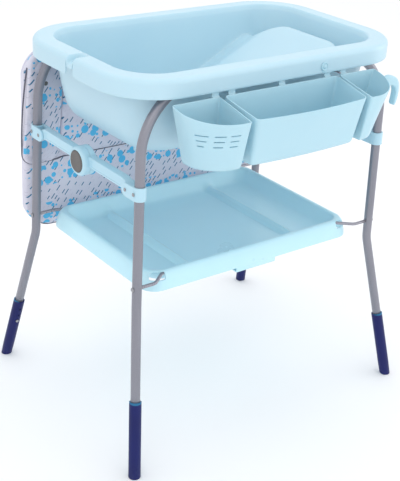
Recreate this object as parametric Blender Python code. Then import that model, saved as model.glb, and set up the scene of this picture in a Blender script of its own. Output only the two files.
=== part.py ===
"""Folding baby bath and changing stand: two tube frames, side braces, tub, tray, boxes, mat."""
import math

import bmesh
import bpy
from mathutils import Matrix, Vector

# Frames: two inverted U tubes, front (-Y) and rear (+Y).
TUBE_R = 0.011
TUBE_BORE = 0.0095
BAR_Z = 0.8845
LEG_TOP_X, LEG_TOP_Y = 0.3481, 0.2143
BEND_X, BEND_Y, BEND_Z = 0.356, 0.228, 0.386
FOOT_X, FOOT_Y = 0.4063, 0.3137
TUBE_END_Z = 0.055
TOP_BEND_R = 0.155
LEG_BEND_R = 0.10

# Adjustable foot sleeves.
SLEEVE_R = 0.0142
SLEEVE_BORE = 0.0114
SLEEVE_TOP_Z = 0.175
HOLE_PITCH = 0.019

# Side braces and their pivots.
PIVOT_Y = 0.188
PIVOT_Z = 0.656
BRACE_X = 0.352
BAR_HALF = 0.0095
HUB_R = 0.034
HUB_OUT = 0.3745
HUB_SPLIT = 0.3543
HUB_IN = 0.3390
DISC_R = 0.0250
EAR_OUT = 0.3670

# Cross rods that carry the tray.
ROD_R = 0.004
ROD_Z = 0.4327
ROD_REACH = 0.2055

# Tub.
RIM_X, RIM_Y = 0.400, 0.250
RIM_TOP = 0.902
RIM_BOTTOM = 0.860
RIM_CORNER = 0.138
WALL = 0.003
TUB_FLOOR = 0.711
SEAT_START = -0.03
SEAT_SLOPE = 0.485

# Tray.
TRAY_X, TRAY_Y, TRAY_CY = 0.312, 0.2225, 0.0115
TRAY_TOP, TRAY_BOTTOM, TRAY_FLOOR = 0.440, 0.397, 0.402

# Boxes that clip under the front bar.
BOX_BACK = -0.2475
BOX_BASE = 0.717
BOX_WALL = 0.0024

# Changing mat, hanging behind the rear legs.
HINGE_Y, HINGE_Z = 0.323, 0.868
MAT_TOP, MAT_BOTTOM = 0.843, 0.375
MAT_X = 0.368
MAT_ARM_X = 0.170

GAP = 0.0003

# Moves the finished model so that the origin is under the middle of its box.
CENTRE_Y = 0.0164

PLASTIC = ("plastic_light_blue", (0.52, 0.74, 0.86), 0.38, 0.0)
TRAY_BLUE = ("plastic_tray_blue", (0.55, 0.80, 0.90), 0.34, 0.0)
BRACE_BLUE = ("plastic_brace_blue", (0.54, 0.75, 0.86), 0.40, 0.0)
TUBE_GREY = ("painted_tube_grey", (0.29, 0.29, 0.33), 0.35, 0.6)
NAVY = ("plastic_navy", (0.02, 0.035, 0.17), 0.42, 0.0)
DISC_GREY = ("plastic_disc_grey", (0.13, 0.125, 0.125), 0.55, 0.0)
STEEL = ("steel", (0.62, 0.62, 0.64), 0.28, 1.0)
MAT_FABRIC = ("mat_fabric", (0.52, 0.56, 0.68), 0.85, 0.0)
BOARD_GREY = ("board_grey", (0.35, 0.37, 0.42), 0.70, 0.0)


def start_empty():
    for obj in list(bpy.data.objects):
        bpy.data.objects.remove(obj, do_unlink=True)


def material(spec):
    name, colour, roughness, metallic = spec
    found = bpy.data.materials.get(name)
    if found:
        return found
    made = bpy.data.materials.new(name)
    made.use_nodes = True
    shader = made.node_tree.nodes["Principled BSDF"]
    shader.inputs["Base Color"].default_value = (*colour, 1.0)
    shader.inputs["Roughness"].default_value = roughness
    shader.inputs["Metallic"].default_value = metallic
    made.diffuse_color = (*colour, 1.0)
    return made


def part(name, points, faces, spec, pivot=(0.0, 0.0, 0.0), sharp=35.0):
    """One named solid with its origin at the pivot, faces outwards, shaded smooth by angle."""
    origin = Vector(pivot)
    mesh = bpy.data.meshes.new(name)
    mesh.from_pydata([Vector(p) - origin for p in points], [], faces)
    obj = bpy.data.objects.new(name, mesh)
    obj.location = origin
    bpy.context.scene.collection.objects.link(obj)
    tidy(obj)
    mesh.materials.append(material(spec))
    shade(obj, sharp)
    return obj


def tidy(obj):
    work = bmesh.new()
    work.from_mesh(obj.data)
    bmesh.ops.remove_doubles(work, verts=work.verts, dist=0.00001)
    bmesh.ops.recalc_face_normals(work, faces=work.faces)
    work.to_mesh(obj.data)
    work.free()


def shade(obj, sharp=35.0):
    obj.data.shade_smooth()
    obj.data.set_sharp_from_angle(angle=math.radians(sharp))


def combine(obj, tool, operation):
    """Apply one exact boolean and drop the tool."""
    tool.hide_render = True
    tool.display_type = "WIRE"
    step = obj.modifiers.new("step", "BOOLEAN")
    step.object = tool
    step.operation = operation
    step.solver = "EXACT"
    bpy.context.view_layer.update()
    graph = bpy.context.evaluated_depsgraph_get()
    result = bpy.data.meshes.new_from_object(obj.evaluated_get(graph))
    obj.modifiers.clear()
    obj.data = result
    bpy.data.objects.remove(tool, do_unlink=True)
    tidy(obj)
    shade(obj)


def cut(obj, tool):
    combine(obj, tool, "DIFFERENCE")


def join(obj, tool):
    combine(obj, tool, "UNION")


def loft(rings, cap_first=True, cap_last=True, closed=False):
    """Skin a list of equal rings; ends are capped, or joined when closed."""
    count = len(rings[0])
    points = [p for ring in rings for p in ring]
    faces = []
    last = len(rings) if closed else len(rings) - 1
    for i in range(last):
        a, b = i * count, ((i + 1) % len(rings)) * count
        for k in range(count):
            n = (k + 1) % count
            faces.append((a + k, a + n, b + n, b + k))
    if cap_first and not closed:
        faces.append(tuple(range(count)))
    if cap_last and not closed:
        faces.append(tuple(range((len(rings) - 1) * count, len(rings) * count)))
    return points, faces


def circle(centre, axis, radius, count=20, start=0.0):
    side = axis.cross(Vector((0.0, 0.0, 1.0)))
    if side.length < 0.01:
        side = Vector((1.0, 0.0, 0.0))
    side.normalize()
    other = axis.cross(side).normalized()
    ring = []
    for k in range(count):
        t = start + 2.0 * math.pi * k / count
        ring.append(centre + side * (radius * math.cos(t)) + other * (radius * math.sin(t)))
    return ring


def rod(name, start, end, radius, spec, pivot=(0.0, 0.0, 0.0), count=20):
    a, b = Vector(start), Vector(end)
    axis = (b - a).normalized()
    points, faces = loft([circle(a, axis, radius, count), circle(b, axis, radius, count)])
    return part(name, points, faces, spec, pivot)


def turned(name, start, axis, profile, spec, pivot=(0.0, 0.0, 0.0), count=24):
    """A round piece from (distance along the axis, radius) pairs."""
    a, direction = Vector(start), Vector(axis).normalized()
    rings = [circle(a + direction * d, direction, r, count) for d, r in profile]
    points, faces = loft(rings)
    return part(name, points, faces, spec, pivot)


def block(name, low, high, spec):
    x0, y0, z0 = low
    x1, y1, z1 = high
    points = [(x0, y0, z0), (x1, y0, z0), (x1, y1, z0), (x0, y1, z0)]
    points += [(x0, y0, z1), (x1, y0, z1), (x1, y1, z1), (x0, y1, z1)]
    faces = [(0, 3, 2, 1), (4, 5, 6, 7), (0, 1, 5, 4), (1, 2, 6, 5), (2, 3, 7, 6), (3, 0, 4, 7)]
    return part(name, points, faces, spec)


def plate(name, outline, x0, x1, spec, pivot=(0.0, 0.0, 0.0)):
    """A flat piece: an outline in Y and Z, extruded along X."""
    near = [(x0, y, z) for y, z in outline]
    far = [(x1, y, z) for y, z in outline]
    points, faces = loft([near, far])
    return part(name, points, faces, spec, pivot)


def arc(cy, cz, radius, first, last, steps):
    """Points of an arc in the YZ plane, angles in degrees from +Y towards +Z."""
    result = []
    for k in range(steps + 1):
        t = math.radians(first + (last - first) * k / steps)
        result.append((cy + radius * math.cos(t), cz + radius * math.sin(t)))
    return result


def filleted(corners, radii, steps):
    """Round the inner corners of an open path."""
    path = [Vector(corners[0])]
    for i in range(1, len(corners) - 1):
        here = Vector(corners[i])
        back = (Vector(corners[i - 1]) - here).normalized()
        ahead = (Vector(corners[i + 1]) - here).normalized()
        half = back.angle(ahead) / 2.0
        reach = radii[i] / math.tan(half)
        centre = here + (back + ahead).normalized() * (radii[i] / math.sin(half))
        first = here + back * reach - centre
        last = here + ahead * reach - centre
        turn = first.angle(last)
        for k in range(steps[i] + 1):
            t = k / steps[i]
            a = math.sin((1.0 - t) * turn) / math.sin(turn)
            b = math.sin(t * turn) / math.sin(turn)
            path.append(centre + first * a + last * b)
    path.append(Vector(corners[-1]))
    return path


def sweep_rings(path, radius, count):
    """Rings along a path, carried without twist."""
    rings = []
    normal = None
    for i, point in enumerate(path):
        before = path[i] - path[i - 1] if i else path[1] - path[0]
        after = path[i + 1] - path[i] if i + 1 < len(path) else before
        tangent = (before.normalized() + after.normalized()).normalized()
        if normal is None:
            normal = tangent.cross(Vector((0.0, 1.0, 0.0))).normalized()
        normal = (normal - tangent * normal.dot(tangent)).normalized()
        other = tangent.cross(normal)
        scale = 1.0 / max(0.5, math.cos(before.angle(after) / 2.0))
        bend = after.normalized() - before.normalized()
        ring = []
        for k in range(count):
            t = 2.0 * math.pi * k / count
            offset = normal * math.cos(t) + other * math.sin(t)
            if bend.length > 0.0001:
                inward = bend.normalized()
                offset = offset + inward * (offset.dot(inward) * (scale - 1.0))
            ring.append(point + offset * radius)
        rings.append(ring)
    return rings


def pipe(name, path, radius, bore, spec, count=14, pivot=(0.0, 0.0, 0.0)):
    """A bent tube: hollow when bore is given, solid otherwise."""
    outer = sweep_rings(path, radius, count)
    if bore:
        inner = sweep_rings(path, bore, count)
        inner.reverse()
        points, faces = loft(outer + inner, closed=True)
    else:
        points, faces = loft(outer)
    return part(name, points, faces, spec, pivot, sharp=50.0)


def lower_leg(z):
    """Leg centre below the bend, for the +X +Y leg."""
    t = (BEND_Z - z) / BEND_Z
    return BEND_X + (FOOT_X - BEND_X) * t, BEND_Y + (FOOT_Y - BEND_Y) * t


def upper_leg(z):
    """Leg centre above the bend, for the +X +Y leg."""
    t = (z - BEND_Z) / (BAR_Z - BEND_Z)
    return BEND_X + (LEG_TOP_X - BEND_X) * t, BEND_Y + (LEG_TOP_Y - BEND_Y) * t


def frame_tube(name, side):
    ex, ey = lower_leg(TUBE_END_Z)
    corners = [
        (-ex, side * ey, TUBE_END_Z),
        (-BEND_X, side * BEND_Y, BEND_Z),
        (-LEG_TOP_X, side * LEG_TOP_Y, BAR_Z),
        (LEG_TOP_X, side * LEG_TOP_Y, BAR_Z),
        (BEND_X, side * BEND_Y, BEND_Z),
        (ex, side * ey, TUBE_END_Z),
    ]
    radii = [0.0, LEG_BEND_R, TOP_BEND_R, TOP_BEND_R, LEG_BEND_R, 0.0]
    path = filleted(corners, radii, [0, 3, 9, 9, 3, 0])
    pivot = (-BRACE_X, -PIVOT_Y, PIVOT_Z) if side < 0 else (0.0, 0.0, 0.0)
    return pipe(name, path, TUBE_R, TUBE_BORE, TUBE_GREY, pivot=pivot)


def cross_rod(name, side):
    """Thin rod between the legs, stepped inwards where the tray rim hooks over it."""
    lx, ly = upper_leg(ROD_Z)
    ends = lx - TUBE_R - GAP
    corners = [
        (-ends, side * ly, ROD_Z),
        (-0.306, side * ly, ROD_Z),
        (-0.266, TRAY_CY + side * ROD_REACH, ROD_Z),
        (0.266, TRAY_CY + side * ROD_REACH, ROD_Z),
        (0.306, side * ly, ROD_Z),
        (ends, side * ly, ROD_Z),
    ]
    path = filleted(corners, [0.0, 0.02, 0.02, 0.02, 0.02, 0.0], [0, 3, 3, 3, 3, 0])
    return pipe(name, path, ROD_R, None, TUBE_GREY, count=8)


def rod_bolt(name, side_x, side_y):
    lx, ly = upper_leg(ROD_Z)
    start = (side_x * (lx + TUBE_R + GAP), side_y * ly, ROD_Z)
    profile = [(0.0, 0.0052), (0.0012, 0.0052), (0.0028, 0.0038), (0.0034, 0.0018)]
    return turned(name, start, (side_x, 0.0, 0.0), profile, STEEL, count=12)


def leg_axis(side_x, side_y):
    """Unit vector down the lower leg."""
    return Vector((side_x * (FOOT_X - BEND_X), side_y * (FOOT_Y - BEND_Y), -BEND_Z)).normalized()


def sleeve_point(side_x, side_y, below_top):
    tx, ty = lower_leg(SLEEVE_TOP_Z)
    return Vector((side_x * tx, side_y * ty, SLEEVE_TOP_Z)) + leg_axis(side_x, side_y) * below_top


def inward(side_x, side_y):
    """Square to the leg, facing the middle of the stand."""
    axis = leg_axis(side_x, side_y)
    flat = Vector((0.0, -side_y, 0.0))
    return (flat - axis * flat.dot(axis)).normalized()


def foot(name, side_x, side_y):
    axis = leg_axis(side_x, side_y)
    top = sleeve_point(side_x, side_y, 0.0)
    length = 0.190
    outer = [(0.0, SLEEVE_R - 0.0010), (0.0010, SLEEVE_R), (length, SLEEVE_R)]
    inner = [(length - 0.030, SLEEVE_BORE), (0.0, SLEEVE_BORE)]
    rings = [circle(top + axis * d, axis, r, 20) for d, r in outer]
    solid = loft(rings)
    shell = part(name, solid[0], solid[1], NAVY, tuple(top))
    bore_rings = [circle(top + axis * d, axis, r, 20) for d, r in [(-0.01, SLEEVE_BORE), inner[0]]]
    bore = loft(bore_rings)
    cut(shell, part("bore", bore[0], bore[1], NAVY))
    floor = block("floor", (-1.0, -1.0, -0.1), (1.0, 1.0, 0.0), NAVY)
    cut(shell, floor)
    out = inward(side_x, side_y)
    for step, radius in ((0.024, 0.0036), (0.024 + HOLE_PITCH, 0.0036), (0.024 + 2 * HOLE_PITCH, 0.0048)):
        mouth = sleeve_point(side_x, side_y, step)
        cut(shell, rod("hole", mouth + out * 0.006, mouth + out * 0.02, radius, NAVY, count=12))
    return shell


def foot_button(name, side_x, side_y):
    out = inward(side_x, side_y)
    centre = sleeve_point(side_x, side_y, 0.024 + 2 * HOLE_PITCH)
    start = centre + out * (SLEEVE_R - 0.0008)
    profile = [(0.0, 0.0043), (0.0018, 0.0043), (0.0028, 0.0032), (0.0032, 0.0015)]
    return turned(name, start, out, profile, NAVY, tuple(start), count=12)


def ear_outline(side):
    """Rounded strap from the leg to the pivot, in Y and Z."""
    radius = 0.0155
    leg_y = upper_leg(PIVOT_Z)[1]
    if side > 0:
        near = arc(PIVOT_Y, PIVOT_Z, radius, 90.0, 270.0, 8)
        far = arc(leg_y, PIVOT_Z, radius, 270.0, 450.0, 8)
    else:
        near = arc(-PIVOT_Y, PIVOT_Z, radius, -90.0, 90.0, 8)
        far = arc(-leg_y, PIVOT_Z, radius, 90.0, 270.0, 8)
    return near + far


def clamp(name, side_x, side_y):
    """Band round the leg with a forked ear that holds the brace end."""
    lx, ly = upper_leg(PIVOT_Z)
    low, high = upper_leg(PIVOT_Z - 0.0155), upper_leg(PIVOT_Z + 0.0155)
    bottom = Vector((side_x * low[0], side_y * low[1], PIVOT_Z - 0.0155))
    top = Vector((side_x * high[0], side_y * high[1], PIVOT_Z + 0.0155))
    inner = 2.0 * lx - EAR_OUT
    strap = plate(name, ear_outline(side_y), side_x * inner, side_x * EAR_OUT, BRACE_BLUE)
    join(strap, rod("band", bottom, top, 0.0148, BRACE_BLUE, count=22))
    fork_low = BRACE_X - BAR_HALF - GAP
    fork_high = BRACE_X + BAR_HALF + GAP
    ys = sorted((side_y * 0.150, side_y * (ly - 0.0143)))
    xs = sorted((side_x * fork_low, side_x * fork_high))
    cut(strap, block("fork", (xs[0], ys[0], 0.60), (xs[1], ys[1], 0.70), BRACE_BLUE))
    lean = (top - bottom).normalized() * 0.01
    cut(strap, rod("bore", bottom - lean, top + lean, TUBE_R + GAP, BRACE_BLUE, count=22))
    a = (side_x * 0.320, side_y * PIVOT_Y, PIVOT_Z)
    b = (side_x * 0.380, side_y * PIVOT_Y, PIVOT_Z)
    cut(strap, rod("pin_hole", a, b, 0.0033, BRACE_BLUE, count=12))
    c = (side_x * (EAR_OUT - 0.0020), side_y * ly, PIVOT_Z)
    d = (side_x * 0.380, side_y * ly, PIVOT_Z)
    cut(strap, rod("rivet_hole", c, d, 0.0030, BRACE_BLUE, count=12))
    return strap


def clamp_rivet(name, side_x, side_y):
    ly = upper_leg(PIVOT_Z)[1]
    start = (side_x * (EAR_OUT - 0.0017), side_y * ly, PIVOT_Z)
    profile = [(0.0, 0.0026), (0.0022, 0.0026), (0.0022, 0.0042), (0.0030, 0.0042), (0.0038, 0.0030)]
    return turned(name, start, (side_x, 0.0, 0.0), profile, STEEL, count=12)


def pivot_pin(name, side_x, side_y):
    inner = 2.0 * upper_leg(PIVOT_Z)[0] - EAR_OUT
    start = (side_x * (inner - 0.0016), side_y * PIVOT_Y, PIVOT_Z)
    span = EAR_OUT - inner
    profile = [
        (0.0, 0.0042), (0.0013, 0.0042), (0.0013, 0.0030), (span + 0.0019, 0.0030),
        (span + 0.0019, 0.0042), (span + 0.0027, 0.0042), (span + 0.0035, 0.0030),
    ]
    return turned(name, start, (side_x, 0.0, 0.0), profile, STEEL, count=12)


def brace_outline(side):
    """Straight bar from the pivot to the hub, rounded at the pivot."""
    shape = arc(0.0, 0.0, 0.0135, 30.0, -100.0, 12)
    outline = [(PIVOT_Y + y, PIVOT_Z + z) for y, z in shape]
    outline += [(PIVOT_Y - 0.022, PIVOT_Z - 0.0055), (0.0352, PIVOT_Z - 0.0055)]
    outline += [(0.0352, PIVOT_Z + 0.0195), (PIVOT_Y - 0.022, PIVOT_Z + 0.0195)]
    outline += [(PIVOT_Y - 0.010, PIVOT_Z + 0.0165)]
    return [(side * y, z) for y, z in outline]


def connector_outline(side):
    outline = [(0.060, -0.0050), (0.060, 0.0190), (0.012, 0.0190), (0.012, -0.0050)]
    return [(side * y, PIVOT_Z + z) for y, z in outline]


def brace(name, side_x, side_y):
    """Half of a side brace: bar and half of the hub."""
    if side_y > 0:
        hub_from, hub_to = HUB_SPLIT + GAP, HUB_OUT
        link = (HUB_SPLIT + GAP, BRACE_X + BAR_HALF)
        pivot = (side_x * BRACE_X, PIVOT_Y, PIVOT_Z)
    else:
        hub_from, hub_to = HUB_IN, HUB_SPLIT - GAP
        link = (BRACE_X - BAR_HALF, HUB_SPLIT - GAP)
        pivot = (side_x * BRACE_X, 0.0, PIVOT_Z)
    x0, x1 = side_x * (BRACE_X - BAR_HALF), side_x * (BRACE_X + BAR_HALF)
    bar = plate(name, brace_outline(side_y), x0, x1, BRACE_BLUE, pivot)
    join(bar, plate("link", connector_outline(side_y), side_x * link[0], side_x * link[1], BRACE_BLUE))
    depth = hub_to - hub_from
    soft = [(0.0, HUB_R), (depth - 0.0045, HUB_R), (depth - 0.0015, HUB_R - 0.0015), (depth, HUB_R - 0.005)]
    if side_y < 0:
        soft = [(0.0, HUB_R - 0.004), (0.004, HUB_R), (depth, HUB_R)]
    start = (side_x * hub_from, 0.0, PIVOT_Z)
    join(bar, turned("hub", start, (side_x, 0.0, 0.0), soft, BRACE_BLUE, count=30))
    a, b = (side_x * 0.330, 0.0, PIVOT_Z), (side_x * 0.3660, 0.0, PIVOT_Z)
    cut(bar, rod("pin_hole", a, b, 0.0043, BRACE_BLUE, count=12))
    if side_y > 0:
        a, b = (side_x * (HUB_OUT - 0.0065), 0.0, PIVOT_Z), (side_x * 0.39, 0.0, PIVOT_Z)
        cut(bar, rod("recess", a, b, DISC_R + GAP, BRACE_BLUE, count=30))
    c, d = (side_x * 0.33, side_y * PIVOT_Y, PIVOT_Z), (side_x * 0.38, side_y * PIVOT_Y, PIVOT_Z)
    cut(bar, rod("end_hole", c, d, 0.0033, BRACE_BLUE, count=12))
    return bar


def hub_pin(name, side_x):
    start = (side_x * (HUB_IN - 0.0016), 0.0, PIVOT_Z)
    profile = [(0.0, 0.0060), (0.0013, 0.0060), (0.0013, 0.0040), (0.0255, 0.0040)]
    return turned(name, start, (side_x, 0.0, 0.0), profile, STEEL, count=20)


def hub_button(name, side_x):
    start = (side_x * (HUB_OUT - 0.0065 + 0.0032), 0.0, PIVOT_Z)
    profile = [(0.0, DISC_R), (0.0036, DISC_R), (0.0046, DISC_R - 0.0012), (0.0050, DISC_R - 0.004)]
    profile += [(0.0044, DISC_R - 0.010)]
    return turned(name, start, (side_x, 0.0, 0.0), profile, DISC_GREY, start, count=30)


def rounded(hx, hy, radius, z, cx=0.0, cy=0.0, corner=6, long_side=8, short_side=5):
    """A rounded rectangle ring at one height, same point count for every size."""
    ring = []
    centres = [(hx - radius, hy - radius), (-(hx - radius), hy - radius)]
    centres += [(-(hx - radius), -(hy - radius)), (hx - radius, -(hy - radius))]
    counts = [long_side, short_side, long_side, short_side]
    for i, (px, py) in enumerate(centres):
        for k in range(corner + 1):
            t = math.pi / 2.0 * (i + k / corner)
            ring.append(Vector((cx + px + radius * math.cos(t), cy + py + radius * math.sin(t), z)))
        nx, ny = centres[(i + 1) % 4]
        first = ring[-1]
        t = math.pi / 2.0 * (i + 1)
        last = Vector((cx + nx + radius * math.cos(t), cy + ny + radius * math.sin(t), z))
        for k in range(1, counts[i]):
            ring.append(first.lerp(last, k / counts[i]))
    return ring


def ease(value, low, high):
    t = min(1.0, max(0.0, (value - low) / (high - low)))
    return t * t * (3.0 - 2.0 * t)


def seat_height(x, y):
    """Inner floor of the tub: flat on the left, a sloping back rest with a rounded end on the right."""
    run = x - SEAT_START
    ramp = TUB_FLOOR + SEAT_SLOPE * (run + math.sqrt(run * run + 0.0009)) / 2.0
    ramp = min(ramp, 0.874)
    qx = max(0.0, abs(x - 0.09) - 0.150)
    qy = max(0.0, abs(y) - 0.070)
    outside = math.hypot(qx, qy) - 0.070
    away = ease(outside, -0.006, 0.022)
    drop = 0.014 * ease(x, -0.05, 0.10) + 0.055 * ease(x, 0.24, 0.315)
    return max(TUB_FLOOR, ramp - drop * away)


def raised(ring, shift):
    """Lift the ring to the inner floor where the floor is higher."""
    result = []
    for p in ring:
        over = seat_height(p.x, p.y) + shift
        gap = p.z - over
        result.append(Vector((p.x, p.y, over + (gap + math.sqrt(gap * gap + 0.00002)) / 2.0)))
    return result


def tub_walls():
    """Half sizes, corner and height of the wall rings, from the rim edge to the floor."""
    return [
        (0.3545, 0.2040, 0.093, 0.9014), (0.3515, 0.2010, 0.090, 0.8990), (0.3490, 0.1985, 0.088, 0.8935),
        (0.3470, 0.1965, 0.086, 0.880), (0.3435, 0.1935, 0.084, 0.850), (0.3400, 0.1905, 0.082, 0.825),
        (0.3350, 0.1865, 0.080, 0.795), (0.3290, 0.1825, 0.078, 0.768), (0.3210, 0.1780, 0.075, 0.745),
        (0.3090, 0.1700, 0.070, 0.727), (0.2930, 0.1590, 0.063, 0.7165), (0.2740, 0.1450, 0.054, TUB_FLOOR),
        (0.2480, 0.1270, 0.044, TUB_FLOOR), (0.2150, 0.1070, 0.038, TUB_FLOOR),
        (0.1700, 0.0840, 0.032, TUB_FLOOR), (0.1150, 0.0580, 0.026, TUB_FLOOR),
        (0.0600, 0.0300, 0.018, TUB_FLOOR), (0.0200, 0.0120, 0.008, TUB_FLOOR),
    ]


def tub_rings():
    rim = [
        (0.0, RIM_BOTTOM + 0.0008), (0.0, 0.8900), (0.0012, 0.8960), (0.0045, 0.9000),
        (0.0100, 0.9018), (0.0180, RIM_TOP), (0.0360, RIM_TOP), (0.0430, 0.9019),
    ]
    rings = [rounded(RIM_X - d, RIM_Y - d, max(0.046, RIM_CORNER - d), z) for d, z in rim]
    walls = tub_walls()
    rings += [raised(rounded(hx, hy, r, z), 0.0) for hx, hy, r, z in walls]
    under = [raised(rounded(hx + WALL, hy + WALL, r + WALL, z - 0.004), -0.0035) for hx, hy, r, z in walls[3:]]
    under.reverse()
    rings += under
    rings.append(rounded(0.3515, 0.2010, 0.092, 0.8985))
    rings.append(rounded(0.3540, 0.2040, 0.094, 0.8987))
    rings.append(rounded(RIM_X - 0.0100, RIM_Y - 0.0100, RIM_CORNER - 0.0100, 0.8986))
    rings.append(rounded(RIM_X - 0.0050, RIM_Y - 0.0050, RIM_CORNER - 0.0050, 0.8955))
    rings.append(rounded(RIM_X - WALL, RIM_Y - WALL, RIM_CORNER - WALL, 0.8890))
    rings.append(rounded(RIM_X - WALL, RIM_Y - WALL, RIM_CORNER - WALL, RIM_BOTTOM + 0.0008))
    rings.append(rounded(RIM_X - 0.0015, RIM_Y - 0.0015, RIM_CORNER - 0.0015, RIM_BOTTOM))
    return rings


def closed_shell(rings, middle):
    """Rings that start at an outer edge, pass the middle and come back underneath."""
    count = len(rings[0])
    top, bottom = rings[:middle + 1], rings[middle + 1:]
    points = [p for ring in rings for p in ring]
    faces = []
    for group in (range(middle), range(middle + 1, len(rings) - 1)):
        for i in group:
            for k in range(count):
                n = (k + 1) % count
                a, b = i * count, (i + 1) * count
                faces.append((a + k, a + n, b + n, b + k))
    for ring_index in (len(top) - 1, len(top)):
        centre = sum((Vector(p) for p in rings[ring_index]), Vector()) / count
        points.append(centre)
        base = ring_index * count
        for k in range(count):
            faces.append((base + k, base + (k + 1) % count, len(points) - 1))
    last = (len(rings) - 1) * count
    for k in range(count):
        n = (k + 1) % count
        faces.append((last + k, last + n, n, k))
    return points, faces


def tub():
    rings = tub_rings()
    points, faces = closed_shell(rings, 8 + len(tub_walls()) - 1)
    shell = part("tub", points, faces, PLASTIC, sharp=60.0)
    for x, y in ((-0.278, 0.105), (-0.278, -0.105), (-0.10, 0.125), (-0.10, -0.125)):
        profile = [(0.0, 0.0085), (0.0030, 0.0120), (0.0140, 0.0120)]
        join(shell, turned("pad", (x, y, TUB_FLOOR - 0.0118), (0.0, 0.0, 1.0), profile, PLASTIC, count=12))
    join(shell, block("saddle", (-0.3978, -0.031, 0.8830), (-0.3580, 0.006, 0.9005), PLASTIC))
    cut(shell, block("groove", (-0.4200, -0.0275, 0.8865), (-0.3620, 0.0025, 0.9200), PLASTIC))
    cut(shell, block("slit", (-0.4200, -0.0275, 0.8500), (-0.3940, 0.0025, 0.9000), PLASTIC))
    cut(shell, rod("plug_hole", (0.117, -0.262, 0.876), (0.117, -0.240, 0.876), 0.0043, PLASTIC, count=12))
    shade(shell, 60.0)
    return shell


def rim_plug():
    start = (0.117, -RIM_Y + 0.0035, 0.876)
    profile = [(0.0, 0.0040), (0.0038, 0.0040), (0.0038, 0.0100), (0.0058, 0.0100), (0.0074, 0.0084)]
    profile += [(0.0070, 0.0045), (0.0080, 0.0030)]
    plug = turned("rim_plug", start, (0.0, -1.0, 0.0), profile, PLASTIC, start, count=24)
    tab = block("tab", (0.1125, -0.2528, 0.8620), (0.1215, -0.2508, 0.8720), PLASTIC)
    join(plug, tab)
    return plug


def divider(centre):
    """Low rounded ridge across the tray, shaped in X and Z."""
    base = TRAY_FLOOR - 0.0010
    half = [(0.0190, 0.0), (0.0170, 0.0016), (0.0120, 0.0050), (0.0075, 0.0100), (0.0040, 0.0125), (0.0, 0.0132)]
    shape = [(centre + x, base + z) for x, z in half]
    shape += [(centre - x, base + z) for x, z in reversed(half[:-1])]
    ends = (TRAY_CY - 0.1880, TRAY_CY + 0.1880)
    points, faces = loft([[(x, y, z) for x, z in shape] for y in ends])
    return part("divider", points, faces, TRAY_BLUE)


def tray_walls():
    return [
        (0.2860, 0.1970, 0.034, 0.4310), (0.2800, 0.1915, 0.032, 0.4190), (0.2720, 0.1845, 0.030, 0.4080),
        (0.2620, 0.1760, 0.028, 0.4030), (0.2500, 0.1660, 0.026, TRAY_FLOOR), (0.2000, 0.1250, 0.022, TRAY_FLOOR),
        (0.1200, 0.0750, 0.020, TRAY_FLOOR), (0.0500, 0.0250, 0.012, TRAY_FLOOR),
    ]


def tray():
    """Shallow tray whose rim hooks over the two cross rods."""
    rings = [
        rounded(TRAY_X, TRAY_Y, 0.040, TRAY_BOTTOM, 0.0, TRAY_CY, 6, 4, 4),
        rounded(TRAY_X - 0.003, TRAY_Y - 0.003, 0.040, 0.4200, 0.0, TRAY_CY, 6, 4, 4),
        rounded(TRAY_X - 0.007, TRAY_Y - 0.007, 0.038, 0.4330, 0.0, TRAY_CY, 6, 4, 4),
        rounded(TRAY_X - 0.011, TRAY_Y - 0.011, 0.036, 0.4385, 0.0, TRAY_CY, 6, 4, 4),
        rounded(TRAY_X - 0.016, TRAY_Y - 0.016, 0.035, TRAY_TOP + 0.0003, 0.0, TRAY_CY, 6, 4, 4),
        rounded(TRAY_X - 0.022, TRAY_Y - 0.0215, 0.034, 0.4388, 0.0, TRAY_CY, 6, 4, 4),
    ]
    walls = tray_walls()
    middle = len(rings) + len(walls) - 1
    rings += [rounded(hx, hy, r, z, 0.0, TRAY_CY, 6, 4, 4) for hx, hy, r, z in walls]
    wider = [(hx + 0.0025, hy + 0.0025, r + 0.0025, z - 0.0028) for hx, hy, r, z in walls]
    under = [rounded(hx, hy, r, z, 0.0, TRAY_CY, 6, 4, 4) for hx, hy, r, z in wider]
    under.reverse()
    rings += under
    rings += [
        rounded(TRAY_X - 0.0215, TRAY_Y - 0.0205, 0.035, 0.4368, 0.0, TRAY_CY, 6, 4, 4),
        rounded(TRAY_X - 0.0140, TRAY_Y - 0.0140, 0.035, 0.4368, 0.0, TRAY_CY, 6, 4, 4),
        rounded(TRAY_X - 0.0100, TRAY_Y - 0.0100, 0.036, 0.4310, 0.0, TRAY_CY, 6, 4, 4),
        rounded(TRAY_X - 0.0056, TRAY_Y - 0.0056, 0.037, 0.4190, 0.0, TRAY_CY, 6, 4, 4),
        rounded(TRAY_X - 0.0027, TRAY_Y - 0.0027, 0.037, TRAY_BOTTOM, 0.0, TRAY_CY, 6, 4, 4),
    ]
    points, faces = closed_shell(rings, middle)
    shell = part("tray", points, faces, TRAY_BLUE, sharp=60.0)
    front = TRAY_CY - TRAY_Y
    lip = block("lip", (-0.060, front + 0.0006, 0.3850), (0.060, front + 0.0240, 0.3885), TRAY_BLUE)
    join(lip, block("lip_front", (-0.060, front + 0.0006, 0.3860), (0.060, front + 0.0026, 0.4010), TRAY_BLUE))
    join(shell, lip)
    join(shell, divider(-0.163))
    join(shell, divider(0.163))
    for side_x in (-1.0, 1.0):
        for y0, y1 in ((front - 0.012, TRAY_CY - ROD_REACH + 0.005), (TRAY_CY + ROD_REACH - 0.005, TRAY_CY + TRAY_Y + 0.012)):
            xs = sorted((side_x * 0.2630, side_x * 0.3000))
            cut(shell, block("notch", (xs[0], y0, 0.380), (xs[1], y1, 0.4369), TRAY_BLUE))
    shade(shell, 60.0)
    return shell


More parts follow.
